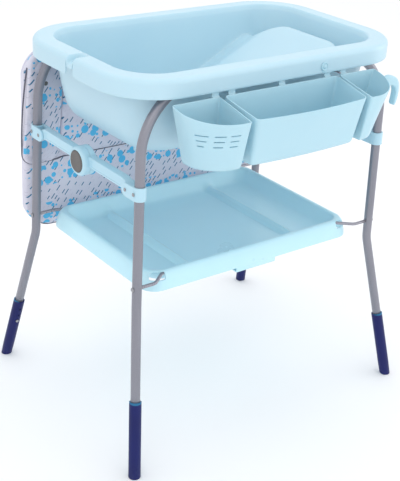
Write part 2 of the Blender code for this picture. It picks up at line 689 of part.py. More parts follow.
def centre_plan(grow):
    return plan_from([(-0.1650, 0.0), (-0.1580, 0.1085), (0.0, 0.1170), (0.1580, 0.1085), (0.1620, 0.0)], 0.014, grow)


def left_plan(grow):
    corner = [(-0.3000, 0.0), (-0.3000, 0.0250)]
    for k in range(1, 6):
        t = math.pi / 2.0 * k / 6.0
        corner.append((-0.3000 + 0.110 * (1.0 - math.cos(t)), 0.0250 + 0.088 * math.sin(t)))
    corner += [(-0.1740, 0.1130), (-0.1740, 0.0)]
    return plan_from(corner, 0.008, grow)


def right_plan(grow):
    corner = [(0.1680, 0.0), (0.1680, 0.1110)]
    for k in range(1, 6):
        t = math.pi / 2.0 * (1.0 - k / 6.0)
        corner.append((0.1880 + 0.0930 * math.cos(t), 0.0150 + 0.0960 * math.sin(t)))
    corner += [(0.2810, 0.0150), (0.2810, 0.0)]
    return plan_from(corner, 0.008, grow)


def plan_from(corners, radius, grow):
    """Round the corners of a plan, then move its sides outwards by grow."""
    count = len(corners)
    rounded_plan = []
    for i in range(count):
        here = Vector(corners[i])
        back = (Vector(corners[i - 1]) - here)
        ahead = (Vector(corners[(i + 1) % count]) - here)
        reach = min(radius, back.length * 0.45, ahead.length * 0.45)
        first, last = here + back.normalized() * reach, here + ahead.normalized() * reach
        for k in range(4):
            t = k / 3.0
            rounded_plan.append(first.lerp(here, t).lerp(here.lerp(last, t), t))
    moved = []
    size = len(rounded_plan)
    for i, point in enumerate(rounded_plan):
        along = rounded_plan[(i + 1) % size] - rounded_plan[i - 1]
        normal = Vector((along.y, -along.x)).normalized()
        moved.append(tuple(point - normal * grow))
    return moved


def rim_height(y):
    """The box rims slope down towards the front."""
    return 0.850 + 0.20 * (y + 0.245)


def box_ring(plan, z, sloped, draft):
    """Ring at the sloping rim, or at a height near the base where the walls have drawn in."""
    fixed_x, share_x, share_depth = draft
    up = 1.0 if sloped else (z - BOX_BASE) / 0.115
    scale_x, scale_depth = share_x + (1.0 - share_x) * up, share_depth + (1.0 - share_depth) * up
    ring = []
    for x, depth in plan:
        y = BOX_BACK - depth * scale_depth
        ring.append(Vector((fixed_x + (x - fixed_x) * scale_x, y, rim_height(y) + z if sloped else z)))
    return ring


def box_shell(name, plan, draft, spec):
    """Open box: outside from the base up, over the sloping rim and down inside."""
    levels = [
        (-0.0090, BOX_BASE, False), (-0.0055, BOX_BASE + 0.0010, False), (-0.0032, BOX_BASE + 0.0060, False),
        (-0.0026, BOX_BASE + 0.014, False), (-0.0003, -0.0012, True), (-0.0009, 0.0, True),
        (-0.0018, 0.0, True), (-0.0026, -0.0012, True), (-0.0050, BOX_BASE + 0.014, False),
        (-0.0062, BOX_BASE + 0.0060, False), (-0.0100, BOX_BASE + 0.0030, False),
    ]
    rings = [box_ring(plan(grow), z, sloped, draft) for grow, z, sloped in levels]
    points, faces = loft(rings)
    return part(name, points, faces, spec, sharp=40.0)


def clip_outline():
    """Snap clip that holds the front bar from below, in Y and Z."""
    y = -LEG_TOP_Y
    reach = TUBE_R + GAP
    low = BAR_Z - TUBE_R - GAP
    return [
        (BOX_BACK - 0.0012, 0.8300), (BOX_BACK - 0.0012, 0.8480), (BOX_BACK + 0.0030, 0.8520),
        (BOX_BACK + 0.0030, low), (y - reach - 0.0024, low), (y - reach - 0.0024, BAR_Z + 0.005),
        (y - reach, BAR_Z + 0.005), (y - reach, low), (y + reach, low), (y + reach, BAR_Z + 0.005),
        (y + reach + 0.0022, BAR_Z + 0.005), (y + reach + 0.0022, low - 0.0024),
        (BOX_BACK + 0.0058, low - 0.0024), (BOX_BACK + 0.0058, 0.8505), (BOX_BACK + 0.0032, 0.8465),
        (BOX_BACK + 0.0032, 0.8300),
    ]


def add_clips(box, places):
    for x in places:
        join(box, plate("clip", clip_outline(), x - 0.009, x + 0.009, PLASTIC))


def left_cup():
    cup = box_shell("left_cup", left_plan, (-0.1740, 0.76, 0.80), PLASTIC)
    add_clips(cup, [-0.1840])
    slots = [(-0.272, 0.80), (-0.2405, 0.91), (-0.209, 1.0)]
    for row in range(3):
        for x, size in slots:
            half = 0.0115 * (1.0 - 0.10 * row)
            z = 0.8010 - 0.0125 * row
            tool = block("slot", (x - half, -0.3900, z - 0.0014), (x + half, -0.3050, z + 0.0014), PLASTIC)
            cut(cup, tool)
    return cup


def centre_box():
    box = box_shell("centre_box", centre_plan, (0.0, 0.95, 0.82), PLASTIC)
    add_clips(box, [-0.140, 0.0, 0.135])
    return box


def hook_outline():
    """Hook at the side of the cup, in X and Z."""
    outer = [(0.2764, 0.8400), (0.2960, 0.8420), (0.3100, 0.8360), (0.3190, 0.8240), (0.3225, 0.8060)]
    outer += [(0.3210, 0.7860), (0.3140, 0.7680)]
    inner = [(0.3095, 0.7700), (0.3120, 0.7880), (0.3125, 0.8020), (0.3080, 0.8130), (0.2980, 0.8185)]
    inner += [(0.2840, 0.8160), (0.2694, 0.8090)]
    return outer + inner


def right_cup():
    cup = box_shell("right_cup", right_plan, (0.1680, 0.64, 0.81), PLASTIC)
    add_clips(cup, [0.1840])
    shape = hook_outline()
    points, faces = loft([[(x, -0.2980, z) for x, z in shape], [(x, -0.2800, z) for x, z in shape]])
    join(cup, part("hook", points, faces, PLASTIC))
    return cup


def wire_hook():
    """Short bent wire under the front bar."""
    y = -LEG_TOP_Y
    corners = [(0.169, y, BAR_Z - TUBE_R - 0.0006), (0.169, y, 0.8540), (0.169, BOX_BACK - 0.0040, 0.8540)]
    path = filleted(corners, [0.0, 0.006, 0.0], [0, 5, 0])
    return pipe("wire_hook", path, 0.0022, None, TUBE_GREY, count=10)


def cushion(name, cx, cz, hx, hz, corner, y_back, y_front, edge, spec):
    """Soft rounded slab in the XZ plane, thick along Y."""
    depth = y_back - y_front
    steps = [(0.0, edge), (0.12 * depth, edge * 0.35), (0.35 * depth, 0.0), (0.70 * depth, 0.0)]
    steps += [(0.92 * depth, edge * 0.45), (depth, edge * 1.3)]
    rings = []
    for along, inset in steps:
        flat = rounded(hx - inset, hz - inset, max(0.006, corner - inset), 0.0, 0.0, 0.0, 6, 2, 2)
        rings.append([(cx + p.x, y_back - along, cz + p.y) for p in flat])
    points, faces = loft(rings)
    return part(name, points, faces, spec, (0.0, HINGE_Y, HINGE_Z), sharp=50.0)


def mat():
    middle = (MAT_TOP + MAT_BOTTOM) / 2.0
    half = (MAT_TOP - MAT_BOTTOM) / 2.0
    cushion("mat_board", 0.0, middle, MAT_X - 0.006, half, 0.060, 0.2885, 0.2844, 0.0006, BOARD_GREY)
    cushion("mat_pad", 0.0, middle, MAT_X, half, 0.066, 0.2841, 0.2605, 0.008, MAT_FABRIC)
    cushion("mat_panel", 0.0, 0.6960, 0.2640, 0.1370, 0.030, 0.2602, 0.2520, 0.005, MAT_FABRIC)
    for side, name in ((-1.0, "mat_bolster_left"), (1.0, "mat_bolster_right")):
        cushion(name, side * 0.3165, 0.6960, 0.0505, 0.1410, 0.040, 0.2602, 0.2450, 0.010, MAT_FABRIC)


def mat_arm(name, side):
    """Lever from the back of the board up to the hinge pin."""
    outline = [(0.2888, 0.8010), (0.2925, 0.8010), (0.2925, 0.8380)]
    outline += arc(HINGE_Y, HINGE_Z, 0.0080, -60.0, 130.0, 12)
    outline += [(0.2888, 0.8480)]
    centre = side * MAT_ARM_X
    xs = sorted((centre - side * 0.0080, centre + side * 0.0080))
    pivot = (0.0, HINGE_Y, HINGE_Z)
    arm = plate(name, outline, xs[0], xs[1], TUBE_GREY, pivot)
    a, b = (centre - 0.02, HINGE_Y, HINGE_Z), (centre + 0.02, HINGE_Y, HINGE_Z)
    cut(arm, rod("hole", a, b, 0.0033, TUBE_GREY, count=12))
    return arm


def mat_bracket(name, side):
    """Strap from the rear bar, under the tub rim, up to the mat hinge."""
    y, reach = LEG_TOP_Y, TUBE_R + GAP
    low = BAR_Z - TUBE_R - GAP
    outline = [(y - reach - 0.0022, BAR_Z + 0.004), (y - reach - 0.0022, low - 0.0025)]
    outline += [(0.2180, 0.8530), (0.2260, 0.8490), (HINGE_Y + 0.0020, 0.8490), (HINGE_Y + 0.0080, 0.8550)]
    outline += arc(HINGE_Y, HINGE_Z, 0.0080, 0.0, 180.0, 10)
    outline += [(HINGE_Y - 0.0080, 0.8640), (HINGE_Y - 0.0140, 0.8570), (0.2400, 0.8570), (0.2340, 0.8620)]
    outline += [(y + reach + 0.0025, low - 0.0020), (y + reach + 0.0025, BAR_Z + 0.004)]
    outline += [(y + reach, BAR_Z + 0.004), (y + reach, low), (y - reach, low), (y - reach, BAR_Z + 0.004)]
    first = side * (MAT_ARM_X + 0.0083)
    xs = sorted((first, first + side * 0.0120))
    strap = plate(name, outline, xs[0], xs[1], TUBE_GREY)
    middle = first + side * 0.006
    a, b = (middle - 0.02, HINGE_Y, HINGE_Z), (middle + 0.02, HINGE_Y, HINGE_Z)
    cut(strap, rod("hole", a, b, 0.0033, TUBE_GREY, count=12))
    return strap


def mat_pin(name, side):
    start = (side * (MAT_ARM_X - 0.0097), HINGE_Y, HINGE_Z)
    span = 0.0203 + 0.0083
    profile = [
        (0.0, 0.0046), (0.0014, 0.0046), (0.0014, 0.0030), (span + 0.0020, 0.0030),
        (span + 0.0020, 0.0046), (span + 0.0032, 0.0040),
    ]
    return turned(name, start, (side, 0.0, 0.0), profile, STEEL, count=12)


SIDES = (("left", -1.0), ("right", 1.0))
ENDS = (("rear", 1.0), ("front", -1.0))


def build_frames():
    for end, side_y in ENDS:
        frame_tube(end + "_frame_tube", side_y)
        cross_rod(end + "_rod", side_y)
        for side, side_x in SIDES:
            tag = end + "_" + side
            rod_bolt("rod_bolt_" + tag, side_x, side_y)
            foot("foot_" + tag, side_x, side_y)
            foot_button("foot_button_" + tag, side_x, side_y)


def build_braces():
    for end, side_y in ENDS:
        for side, side_x in SIDES:
            tag = end + "_" + side
            clamp("clamp_" + tag, side_x, side_y)
            clamp_rivet("clamp_rivet_" + tag, side_x, side_y)
            pivot_pin("pivot_pin_" + tag, side_x, side_y)
            brace("brace_" + tag, side_x, side_y)
    for side, side_x in SIDES:
        hub_pin("hub_pin_" + side, side_x)
        hub_button("hub_button_" + side, side_x)


def build_mat():
    mat()
    for side, side_x in SIDES:
        mat_arm("mat_arm_" + side, side_x)
        mat_bracket("mat_bracket_" + side, side_x)
        mat_pin("mat_pin_" + side, side_x)


def main():
    start_empty()
    build_frames()
    build_braces()
    tub()
    rim_plug()
    tray()
    left_cup()
    centre_box()
    right_cup()
    wire_hook()
    build_mat()
    for obj in bpy.data.objects:
        obj.location.y += CENTRE_Y


main()
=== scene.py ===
"""Looks of the folding baby bath and changing stand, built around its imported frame."""
from math import copysign, cos, exp, hypot, pi, radians, sin, sqrt, tan, tanh

import bmesh
import bpy
import numpy as np
from mathutils import Matrix, Vector, geometry


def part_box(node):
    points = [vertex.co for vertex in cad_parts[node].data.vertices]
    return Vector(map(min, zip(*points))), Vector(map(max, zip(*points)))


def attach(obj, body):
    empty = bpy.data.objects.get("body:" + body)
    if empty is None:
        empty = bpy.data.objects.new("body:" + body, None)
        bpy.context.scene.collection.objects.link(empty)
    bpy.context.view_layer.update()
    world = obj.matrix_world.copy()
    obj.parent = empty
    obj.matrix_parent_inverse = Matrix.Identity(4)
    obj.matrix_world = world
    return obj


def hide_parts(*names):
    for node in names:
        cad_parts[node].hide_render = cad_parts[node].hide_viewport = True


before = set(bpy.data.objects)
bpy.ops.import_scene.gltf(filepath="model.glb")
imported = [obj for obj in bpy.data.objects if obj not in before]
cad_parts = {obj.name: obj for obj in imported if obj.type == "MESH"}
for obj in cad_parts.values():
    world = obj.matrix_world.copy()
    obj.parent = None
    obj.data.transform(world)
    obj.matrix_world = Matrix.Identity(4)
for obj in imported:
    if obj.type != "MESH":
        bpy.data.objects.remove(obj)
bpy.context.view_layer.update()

# Places read from the frame: the tub's box gives the middle of the stand.
TUB_LOW, TUB_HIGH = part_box("tub")
RIM_X = (TUB_HIGH.x - TUB_LOW.x) / 2.0
RIM_Y = (TUB_HIGH.y - TUB_LOW.y) / 2.0
RIM_TOP = TUB_HIGH.z
MID_Y = (TUB_HIGH.y + TUB_LOW.y) / 2.0
RIM_BOTTOM = RIM_TOP - 0.042
TUB_FLOOR = TUB_LOW.z + 0.0118
WALL = 0.003

TRAY_LOW, TRAY_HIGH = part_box("tray")
TRAY_X = (TRAY_HIGH.x - TRAY_LOW.x) / 2.0
TRAY_Y = (TRAY_HIGH.y - TRAY_LOW.y) / 2.0
TRAY_MID_Y = (TRAY_HIGH.y + TRAY_LOW.y) / 2.0
TRAY_TOP = TRAY_HIGH.z - 0.0003
TRAY_FLOOR = TRAY_TOP - 0.038

# Frame tubes, sleeves, braces, rods and hinges: the same dimensions as the frame's solids.
TUBE_R = 0.011
BAR_Z = 0.8845
LEG_TOP = (0.3481, 0.2143)
BEND = (0.356, 0.228, 0.386)
FOOT = (0.4063, 0.3137)
TUBE_END_Z = 0.055
TOP_BEND_R = 0.155
LEG_BEND_R = 0.1
SLEEVE_R = 0.0142
SLEEVE_TOP_Z = 0.175
FIRST_HOLE, HOLE_PITCH = 0.024, 0.019
SOLE_EDGE = 0.0022
CLAMP_HALF = 0.0155
PIVOT_Y, PIVOT_Z = 0.188, 0.656
BRACE_X, BAR_HALF = 0.352, 0.0095
HUB_R, DISC_R = 0.034, 0.025
HUB_OUT, HUB_SPLIT, HUB_IN = 0.3745, 0.3543, 0.339
EAR_OUT = 0.367
ROD_R, ROD_Z, ROD_REACH = 0.004, 0.4327, 0.2055
BOX_BACK, BOX_BASE, BOX_TOP, BOX_SLOPE = -0.2475, 0.717, 0.85, 0.2
HINGE_Y, HINGE_Z, HINGE_R = 0.323, 0.868, 0.008
MAT_TOP, MAT_BOTTOM, MAT_X, MAT_ARM_X = 0.843, 0.375, 0.368, 0.17
WIRE_R = 0.0022
GAP = 0.0003

SIDES = (("left", -1.0), ("right", 1.0))
ENDS = (("rear", 1.0), ("front", -1.0))


# ---------------------------------------------------------------- materials

class Graph:
    """One material, with short names for the nodes that it is made of."""

    def __init__(self, name):
        self.material = bpy.data.materials.new(name)
        self.material.use_nodes = True
        self.tree = self.material.node_tree
        self.shader = self.tree.nodes["Principled BSDF"]
        self.place = self.tree.nodes.new("ShaderNodeTexCoord").outputs["Object"]

    def node(self, kind, **values):
        made = self.tree.nodes.new(kind)
        for name, value in values.items():
            setattr(made, name, value)
        return made

    def feed(self, socket, value):
        if isinstance(value, bpy.types.NodeSocket):
            self.tree.links.new(value, socket)
        elif isinstance(value, (tuple, list)) and len(value) == 3 and socket.type == "RGBA":
            socket.default_value = (*value, 1.0)
        else:
            socket.default_value = value

    def math(self, operation, a, b=0.0, c=0.0):
        made = self.node("ShaderNodeMath", operation=operation)
        for socket, value in zip(made.inputs, (a, b, c)):
            self.feed(socket, value)
        return made.outputs[0]

    def times(self, a, b):
        return self.math("MULTIPLY", a, b)

    def plus(self, a, b):
        return self.math("ADD", a, b)

    def minus(self, a, b):
        return self.math("SUBTRACT", a, b)

    def wave(self, value, length):
        """Sine of the value, once up and down in each length."""
        return self.math("SINE", self.times(value, 2.0 * pi / length))

    def between(self, value, low, high, to_low=0.0, to_high=1.0, smooth=False):
        """Map value from low..high to to_low..to_high, clamped."""
        made = self.node("ShaderNodeMapRange")
        if smooth:
            made.interpolation_type = "SMOOTHSTEP"
        for name, v in (("Value", value), ("From Min", low), ("From Max", high),
                        ("To Min", to_low), ("To Max", to_high)):
            self.feed(made.inputs[name], v)
        return made.outputs[0]

    def noise(self, scale, detail, rough, place=None):
        made = self.node("ShaderNodeTexNoise")
        self.feed(made.inputs["Vector"], place or self.place)
        made.inputs["Scale"].default_value = scale
        made.inputs["Detail"].default_value = detail
        made.inputs["Roughness"].default_value = rough
        return made.outputs["Fac"]

    def cloudy(self, scale, detail, rough, low=0.0, high=1.0):
        """Noise spread over its middle range, from low to high."""
        return self.between(self.noise(scale, detail, rough), 0.3, 0.7, low, high)

    def stretched(self, scale):
        """Object coordinates multiplied along each axis."""
        made = self.node("ShaderNodeMapping")
        self.feed(made.inputs["Vector"], self.place)
        made.inputs["Scale"].default_value = scale
        return made.outputs[0]

    def mix(self, factor, a, b):
        made = self.node("ShaderNodeMix", data_type="RGBA")
        self.feed(made.inputs[0], factor)
        self.feed(made.inputs[6], a)
        self.feed(made.inputs[7], b)
        return made.outputs[2]

    def split(self, vector=None):
        made = self.node("ShaderNodeSeparateXYZ")
        self.feed(made.inputs[0], vector or self.place)
        return made.outputs

    def join(self, x, y=0.0, z=0.0):
        made = self.node("ShaderNodeCombineXYZ")
        for socket, value in zip(made.inputs, (x, y, z)):
            self.feed(socket, value)
        return made.outputs[0]

    def bump(self, height, strength, distance, below=None):
        made = self.node("ShaderNodeBump")
        made.inputs["Strength"].default_value = strength
        made.inputs["Distance"].default_value = distance
        self.feed(made.inputs["Height"], height)
        if below is not None:
            self.feed(made.inputs["Normal"], below)
        return made.outputs[0]

    def finish(self, colour, roughness, normal=None, **fixed):
        self.feed(self.shader.inputs["Base Color"], colour)
        self.feed(self.shader.inputs["Roughness"], roughness)
        if normal is not None:
            self.feed(self.shader.inputs["Normal"], normal)
        for name, value in fixed.items():
            self.shader.inputs[name.replace("_", " ")].default_value = value
        return self.material


COLOUR_DRIFT = (0.03, 0.025, 0.015)


def moulded_plastic(name, light, roughness):
    """Injection-moulded plastic: slow colour drift, flow marks, fine spark texture, faint scuffs."""
    g = Graph(name)
    drift = g.cloudy(5.0, 3.0, 0.55)
    deep = tuple(c - d for c, d in zip(light, COLOUR_DRIFT))
    flow = g.noise(9.0, 2.0, 0.5, g.stretched((0.6, 1.0, 3.5)))
    colour = g.mix(drift, light, deep)
    colour = g.mix(g.between(flow, 0.35, 0.75, 0.0, 0.18), colour, light)
    scuffs = g.between(g.noise(240.0, 3.0, 0.6, g.stretched((1.0, 0.35, 1.0))), 0.6, 0.8)
    gloss = g.cloudy(3.2, 4.0, 0.6, roughness - 0.05, roughness + 0.06)
    gloss = g.math("MULTIPLY_ADD", scuffs, 0.05, gloss)
    grain = g.noise(1500.0, 2.0, 0.6)
    wave = g.noise(16.0, 1.0, 0.4)
    normal = g.bump(wave, 0.1, 0.002)
    normal = g.bump(grain, 0.05, 0.0002, normal)
    return g.finish(colour, gloss, normal, Specular_IOR_Level=0.48, Subsurface_Weight=0.05,
                    Subsurface_Radius=(0.4, 0.8, 1.0), Subsurface_Scale=0.004,
                    Coat_Weight=0.08, Coat_Roughness=0.25)


def painted_tube(name, light, deep, roughness=0.36):
    """Silver-grey paint on drawn steel: fine metal flake, faint draw lines, small rubs."""
    g = Graph(name)
    flake = g.noise(2600.0, 1.0, 0.5)
    rubs = g.between(g.noise(42.0, 5.0, 0.72), 0.6, 0.74)
    tone = g.cloudy(6.0, 3.0, 0.5)
    colour = g.mix(tone, light, deep)
    shine, worn = (tuple(c * gain for c in light) for gain in (1.7, 1.35))
    colour = g.mix(g.between(flake, 0.55, 0.75, 0.0, 0.35), colour, shine)
    colour = g.mix(g.times(rubs, 0.25), colour, worn)
    lines = g.noise(90.0, 2.0, 0.5, g.stretched((6.0, 6.0, 0.15)))
    gloss = g.between(lines, 0.3, 0.7, roughness - 0.05, roughness + 0.06)
    gloss = g.math("MULTIPLY_ADD", rubs, 0.14, gloss)
    normal = g.bump(lines, 0.04, 0.0004)
    normal = g.bump(flake, 0.05, 0.0001, normal)
    return g.finish(colour, gloss, normal, Metallic=0.55, Coat_Weight=0.2, Coat_Roughness=0.18)


def bare_steel(name, tone):
    """Zinc-plated steel: brushed, a little cloudy."""
    g = Graph(name)
    cloud = g.cloudy(90.0, 4.0, 0.6)
    colour = g.mix(cloud, tone, tuple(c * 0.72 for c in tone))
    brush = g.noise(700.0, 2.0, 0.5, g.stretched((0.2, 1.0, 1.0)))
    gloss = g.between(brush, 0.3, 0.7, 0.2, 0.36)
    return g.finish(colour, gloss, g.bump(brush, 0.08, 0.0002), Metallic=1.0)


def navy_plastic(name):
    """Navy sleeves: slightly satin, lengthwise drag marks, dusty scuffs near the floor and a painted teal
    highlight along the top edge.
    """
    g = Graph(name)
    drift = g.cloudy(12.0, 3.0, 0.5)
    colour = g.mix(drift, (0.004, 0.009, 0.115), (0.003, 0.007, 0.09))
    height = g.split()[2]
    dust = g.between(g.noise(130.0, 4.0, 0.7), 0.45, 0.7)
    dust = g.times(g.between(height, 0.0, 0.05, 1.0, 0.0), dust)
    colour = g.mix(g.times(dust, 0.12), colour, (0.12, 0.13, 0.22))
    # Painted highlight: a thin teal band just under the top edge stands in for light showing through the
    # plastic's thin edge.
    top = g.between(height, SLEEVE_TOP_Z - 0.0026, SLEEVE_TOP_Z - 0.0006, smooth=True)
    colour = g.mix(g.times(top, 0.75), colour, (0.02, 0.19, 0.36))
    drag = g.noise(150.0, 3.0, 0.6, g.stretched((5.0, 5.0, 0.3)))
    gloss = g.between(drag, 0.3, 0.7, 0.36, 0.5)
    normal = g.bump(g.noise(1300.0, 2.0, 0.5), 0.06, 0.0002)
    return g.finish(colour, gloss, normal, Specular_IOR_Level=0.32)


def disc_plastic(name):
    """Dark grey soft-touch disc with a turned texture."""
    g = Graph(name)
    speck = g.noise(900.0, 3.0, 0.6)
    colour = g.mix(g.between(speck, 0.35, 0.65), (0.11, 0.103, 0.098), (0.155, 0.147, 0.14))
    gloss = g.cloudy(24.0, 4.0, 0.6, 0.46, 0.6)
    return g.finish(colour, gloss, g.bump(speck, 0.22, 0.0003), Specular_IOR_Level=0.4)


def weave_height(g, pitch):
    """Plain weave from two crossed sets of threads, the same on every side of a pad."""
    x, y, z = g.split()
    return g.times(g.wave(g.plus(x, y), pitch), g.wave(g.plus(z, g.times(y, 0.5)), pitch))


def dots(g, flat, spacing, radius, share, shift):
    """Round spots, one at most in each cell of the given spacing; share of them are printed."""
    moved = g.node("ShaderNodeVectorMath", operation="ADD")
    g.feed(moved.inputs[0], flat)
    moved.inputs[1].default_value = shift
    cells = g.node("ShaderNodeTexVoronoi", voronoi_dimensions="2D")
    g.feed(cells.inputs["Vector"], moved.outputs[0])
    cells.inputs["Scale"].default_value = 1.0 / spacing
    cells.inputs["Randomness"].default_value = 0.78
    chance = g.split(cells.outputs["Color"])
    size = g.between(chance[0], 0.0, 1.0, radius[0] / spacing, radius[1] / spacing)
    inside = g.between(g.minus(size, cells.outputs["Distance"]), 0.0, 0.0004 / spacing)
    return g.times(inside, g.math("LESS_THAN", chance[1], share))


def dashes(g, flat, angle, row, pitch, length, width, share, seed):
    """Short slanted strokes in staggered rows."""
    x, z = g.split(flat)[:2]
    c, s = cos(radians(angle)), sin(radians(angle))
    along = g.plus(g.times(x, c), g.times(z, s))
    across = g.minus(g.times(z, c), g.times(x, s))
    lane = g.math("DIVIDE", across, row)
    lane_index = g.math("FLOOR", lane)
    lane_noise = g.node("ShaderNodeTexWhiteNoise", noise_dimensions="1D")
    g.feed(lane_noise.inputs["W"], g.plus(lane_index, seed))
    step = g.plus(g.math("DIVIDE", along, pitch), lane_noise.outputs["Value"])
    cell_noise = g.node("ShaderNodeTexWhiteNoise", noise_dimensions="3D")
    g.feed(cell_noise.inputs["Vector"], g.join(lane_index, g.math("FLOOR", step), seed))
    chance = g.split(cell_noise.outputs["Color"])
    half = g.between(chance[0], 0.0, 1.0, length[0] / 2.0, length[1] / 2.0)
    from_middle, from_line = (g.times(g.math("ABSOLUTE", g.minus(g.math("FRACT", value), 0.5)), size)
                              for value, size in ((step, pitch), (lane, row)))
    inside = g.times(g.between(g.minus(half, from_middle), 0.0, 0.0004),
                    g.between(g.minus(width / 2.0, from_line), 0.0, 0.0003))
    return g.times(inside, g.math("LESS_THAN", chance[1], share))


CLOTH_LIGHT = (0.7, 0.69, 0.775)
CLOTH_DEEP = (0.63, 0.625, 0.72)
BAND_PITCH = 0.104
RAIN_ANGLE = 52.0


def printed_cloth(name, printed=True):
    """Wipe-clean cloth: lilac-grey ground, bands of sky-blue spots and rain-like strokes."""
    g = Graph(name)
    x, y, z = g.split()
    flat = g.join(g.math("MULTIPLY_ADD", y, 0.6, x), z)
    drift = g.cloudy(7.0, 3.0, 0.5)
    colour = g.mix(drift, CLOTH_LIGHT, CLOTH_DEEP)
    if printed:
        normal_x = g.split(g.node("ShaderNodeTexCoord").outputs["Normal"])[0]
        shown = g.between(g.math("ABSOLUTE", normal_x), 0.93, 0.8)
        wobble = g.times(g.minus(g.noise(9.0, 1.0, 0.5), 0.5), 0.045)
        band = g.wave(g.plus(g.plus(z, wobble), 0.03), BAND_PITCH)
        grey = dashes(g, flat, RAIN_ANGLE, 0.0052, 0.023, (0.004, 0.011), 0.0009, 0.42, 11.0)
        colour = g.mix(g.times(grey, 0.7), colour, (0.36, 0.35, 0.46))
        teal = dashes(g, flat, RAIN_ANGLE, 0.0098, 0.025, (0.009, 0.018), 0.003, 0.47, 3.0)
        colour = g.mix(g.times(teal, shown), colour, (0.01, 0.155, 0.29))
        in_band = g.between(band, -0.18, -0.06)
        spots = g.math("MAXIMUM", dots(g, flat, 0.031, (0.006, 0.0115), 0.88, (0.0, 0.0, 0.0)),
                       dots(g, flat, 0.0175, (0.0022, 0.0056), 0.6, (0.31, 0.17, 0.0)))
        spots = g.times(spots, g.times(in_band, shown))
        colour = g.mix(spots, colour, (0.085, 0.48, 0.78))
    height = weave_height(g, 0.0011)
    creases = g.noise(24.0, 3.0, 0.55)
    normal = g.bump(creases, 0.28, 0.006)
    normal = g.bump(height, 0.16, 0.0003, normal)
    gloss = g.cloudy(30.0, 3.0, 0.6, 0.5, 0.64)
    return g.finish(colour, gloss, normal, Sheen_Weight=0.18, Sheen_Roughness=0.45,
                    Specular_IOR_Level=0.35)


def piping_cloth(name):
    """Dark grey bias tape round a cord, with diagonal threads."""
    g = Graph(name)
    x, y, z = g.split()
    run = g.plus(g.plus(x, z), y)
    threads = g.wave(run, 0.0014)
    colour = g.mix(g.between(threads, -1.0, 1.0), (0.085, 0.085, 0.12), (0.15, 0.15, 0.195))
    gloss = g.cloudy(200.0, 2.0, 0.5, 0.62, 0.78)
    return g.finish(colour, gloss, g.bump(threads, 0.35, 0.0004), Sheen_Weight=0.25)


BLUE = moulded_plastic("blue_tub", (0.5, 0.705, 0.79), 0.36)
BLUE_BOX = moulded_plastic("blue_boxes", (0.45, 0.68, 0.765), 0.37)
# The tray's blue is paler than the tub's: painted light, standing in for light reaching the shaded tray under
# the tub.
BLUE_TRAY_PAINTED_LIGHTER = moulded_plastic("blue_tray_painted_lighter", (0.55, 0.83, 0.915), 0.32)
BLUE_BRACE = moulded_plastic("blue_brace", (0.46, 0.69, 0.79), 0.36)
TUBE_PAINT = painted_tube("tube_paint", (0.262, 0.262, 0.298), (0.232, 0.234, 0.27))
WIRE_PAINT = painted_tube("wire_paint", (0.34, 0.33, 0.37), (0.3, 0.29, 0.33), 0.3)
RIVET_STEEL = bare_steel("rivet_steel", (0.42, 0.42, 0.44))
NAVY = navy_plastic("navy_sleeve")
DISC = disc_plastic("hub_disc")
PRINT = printed_cloth("printed_cloth")
PLAIN = printed_cloth("plain_cloth", False)
PIPING = piping_cloth("piping")


# ---------------------------------------------------------------- shapes

def place(obj, material, body, replaced, slot, smooth):
    """Give a finished piece its material, shading, body and the nodes it stands for."""
    obj.data.materials.clear()
    obj.data.materials.append(material)
    obj.data.shade_smooth()
    obj.data.set_sharp_from_angle(angle=radians(smooth))
    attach(obj, body)
    if replaced:
        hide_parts(*replaced)
    return obj


def linked(name, data):
    obj = bpy.data.objects.new(name, data)
    bpy.context.scene.collection.objects.link(obj)
    return obj


def raw(name, points, faces):
    """A mesh object with doubled points merged and faces turned outwards."""
    mesh = bpy.data.meshes.new(name)
    mesh.from_pydata([tuple(p) for p in points], [], [tuple(int(i) for i in f) for f in faces])
    return clean(linked(name, mesh))


def clean(obj):
    work = bmesh.new()
    work.from_mesh(obj.data)
    bmesh.ops.remove_doubles(work, verts=work.verts, dist=0.00001)
    bmesh.ops.recalc_face_normals(work, faces=work.faces)
    work.to_mesh(obj.data)
    work.free()
    return obj


def applied(obj):
    """Bake the object's modifiers into its mesh."""
    bpy.context.view_layer.update()
    graph = bpy.context.evaluated_depsgraph_get()
    result = bpy.data.meshes.new_from_object(obj.evaluated_get(graph))
    obj.modifiers.clear()
    obj.data = result
    return obj


def modified(obj, kind, **values):
    """Add one modifier, set its values and bake it."""
    step = obj.modifiers.new("step", kind)
    for name, value in values.items():
        setattr(step, name, value)
    return applied(obj)


def bevelled(obj, width, segments):
    return modified(obj, "BEVEL", width=width, segments=segments, limit_method="ANGLE",
                    angle_limit=radians(35.0), use_clamp_overlap=True, miter_outer="MITER_ARC")


def combined(obj, tool, operation):
    modified(obj, "BOOLEAN", object=tool, operation=operation, solver="EXACT")
    bpy.data.objects.remove(tool, do_unlink=True)
    return clean(obj)


def cut(obj, tool):
    return combined(obj, tool, "DIFFERENCE")


def joined(obj, tool):
    return combined(obj, tool, "UNION")


def together(name, objects):
    """Several closed meshes as one piece."""
    work = bmesh.new()
    for obj in objects:
        work.from_mesh(obj.data)
        bpy.data.objects.remove(obj, do_unlink=True)
    mesh = bpy.data.meshes.new(name)
    work.to_mesh(mesh)
    work.free()
    return linked(name, mesh)


def strip(first, second, count, left_out=()):
    """Faces between two rings of count points, named by their places in the list of rings."""
    a, b = first * count, second * count
    return [(a + k, a + (k + 1) % count, b + (k + 1) % count, b + k)
            for k in range(count) if k not in left_out]


def skin(rings, closed=False):
    """Faces over equal rings; the ends are capped unless the rings close on themselves."""
    count = len(rings[0])
    points = [Vector(p) for ring in rings for p in ring]
    faces = []
    for i in range(len(rings) if closed else len(rings) - 1):
        faces += strip(i, (i + 1) % len(rings), count)
    if not closed:
        for base in (0, (len(rings) - 1) * count):
            centre = sum(points[base:base + count], Vector()) / count
            points.append(centre)
            faces += [(base + k, base + (k + 1) % count, len(points) - 1) for k in range(count)]
    return points, faces


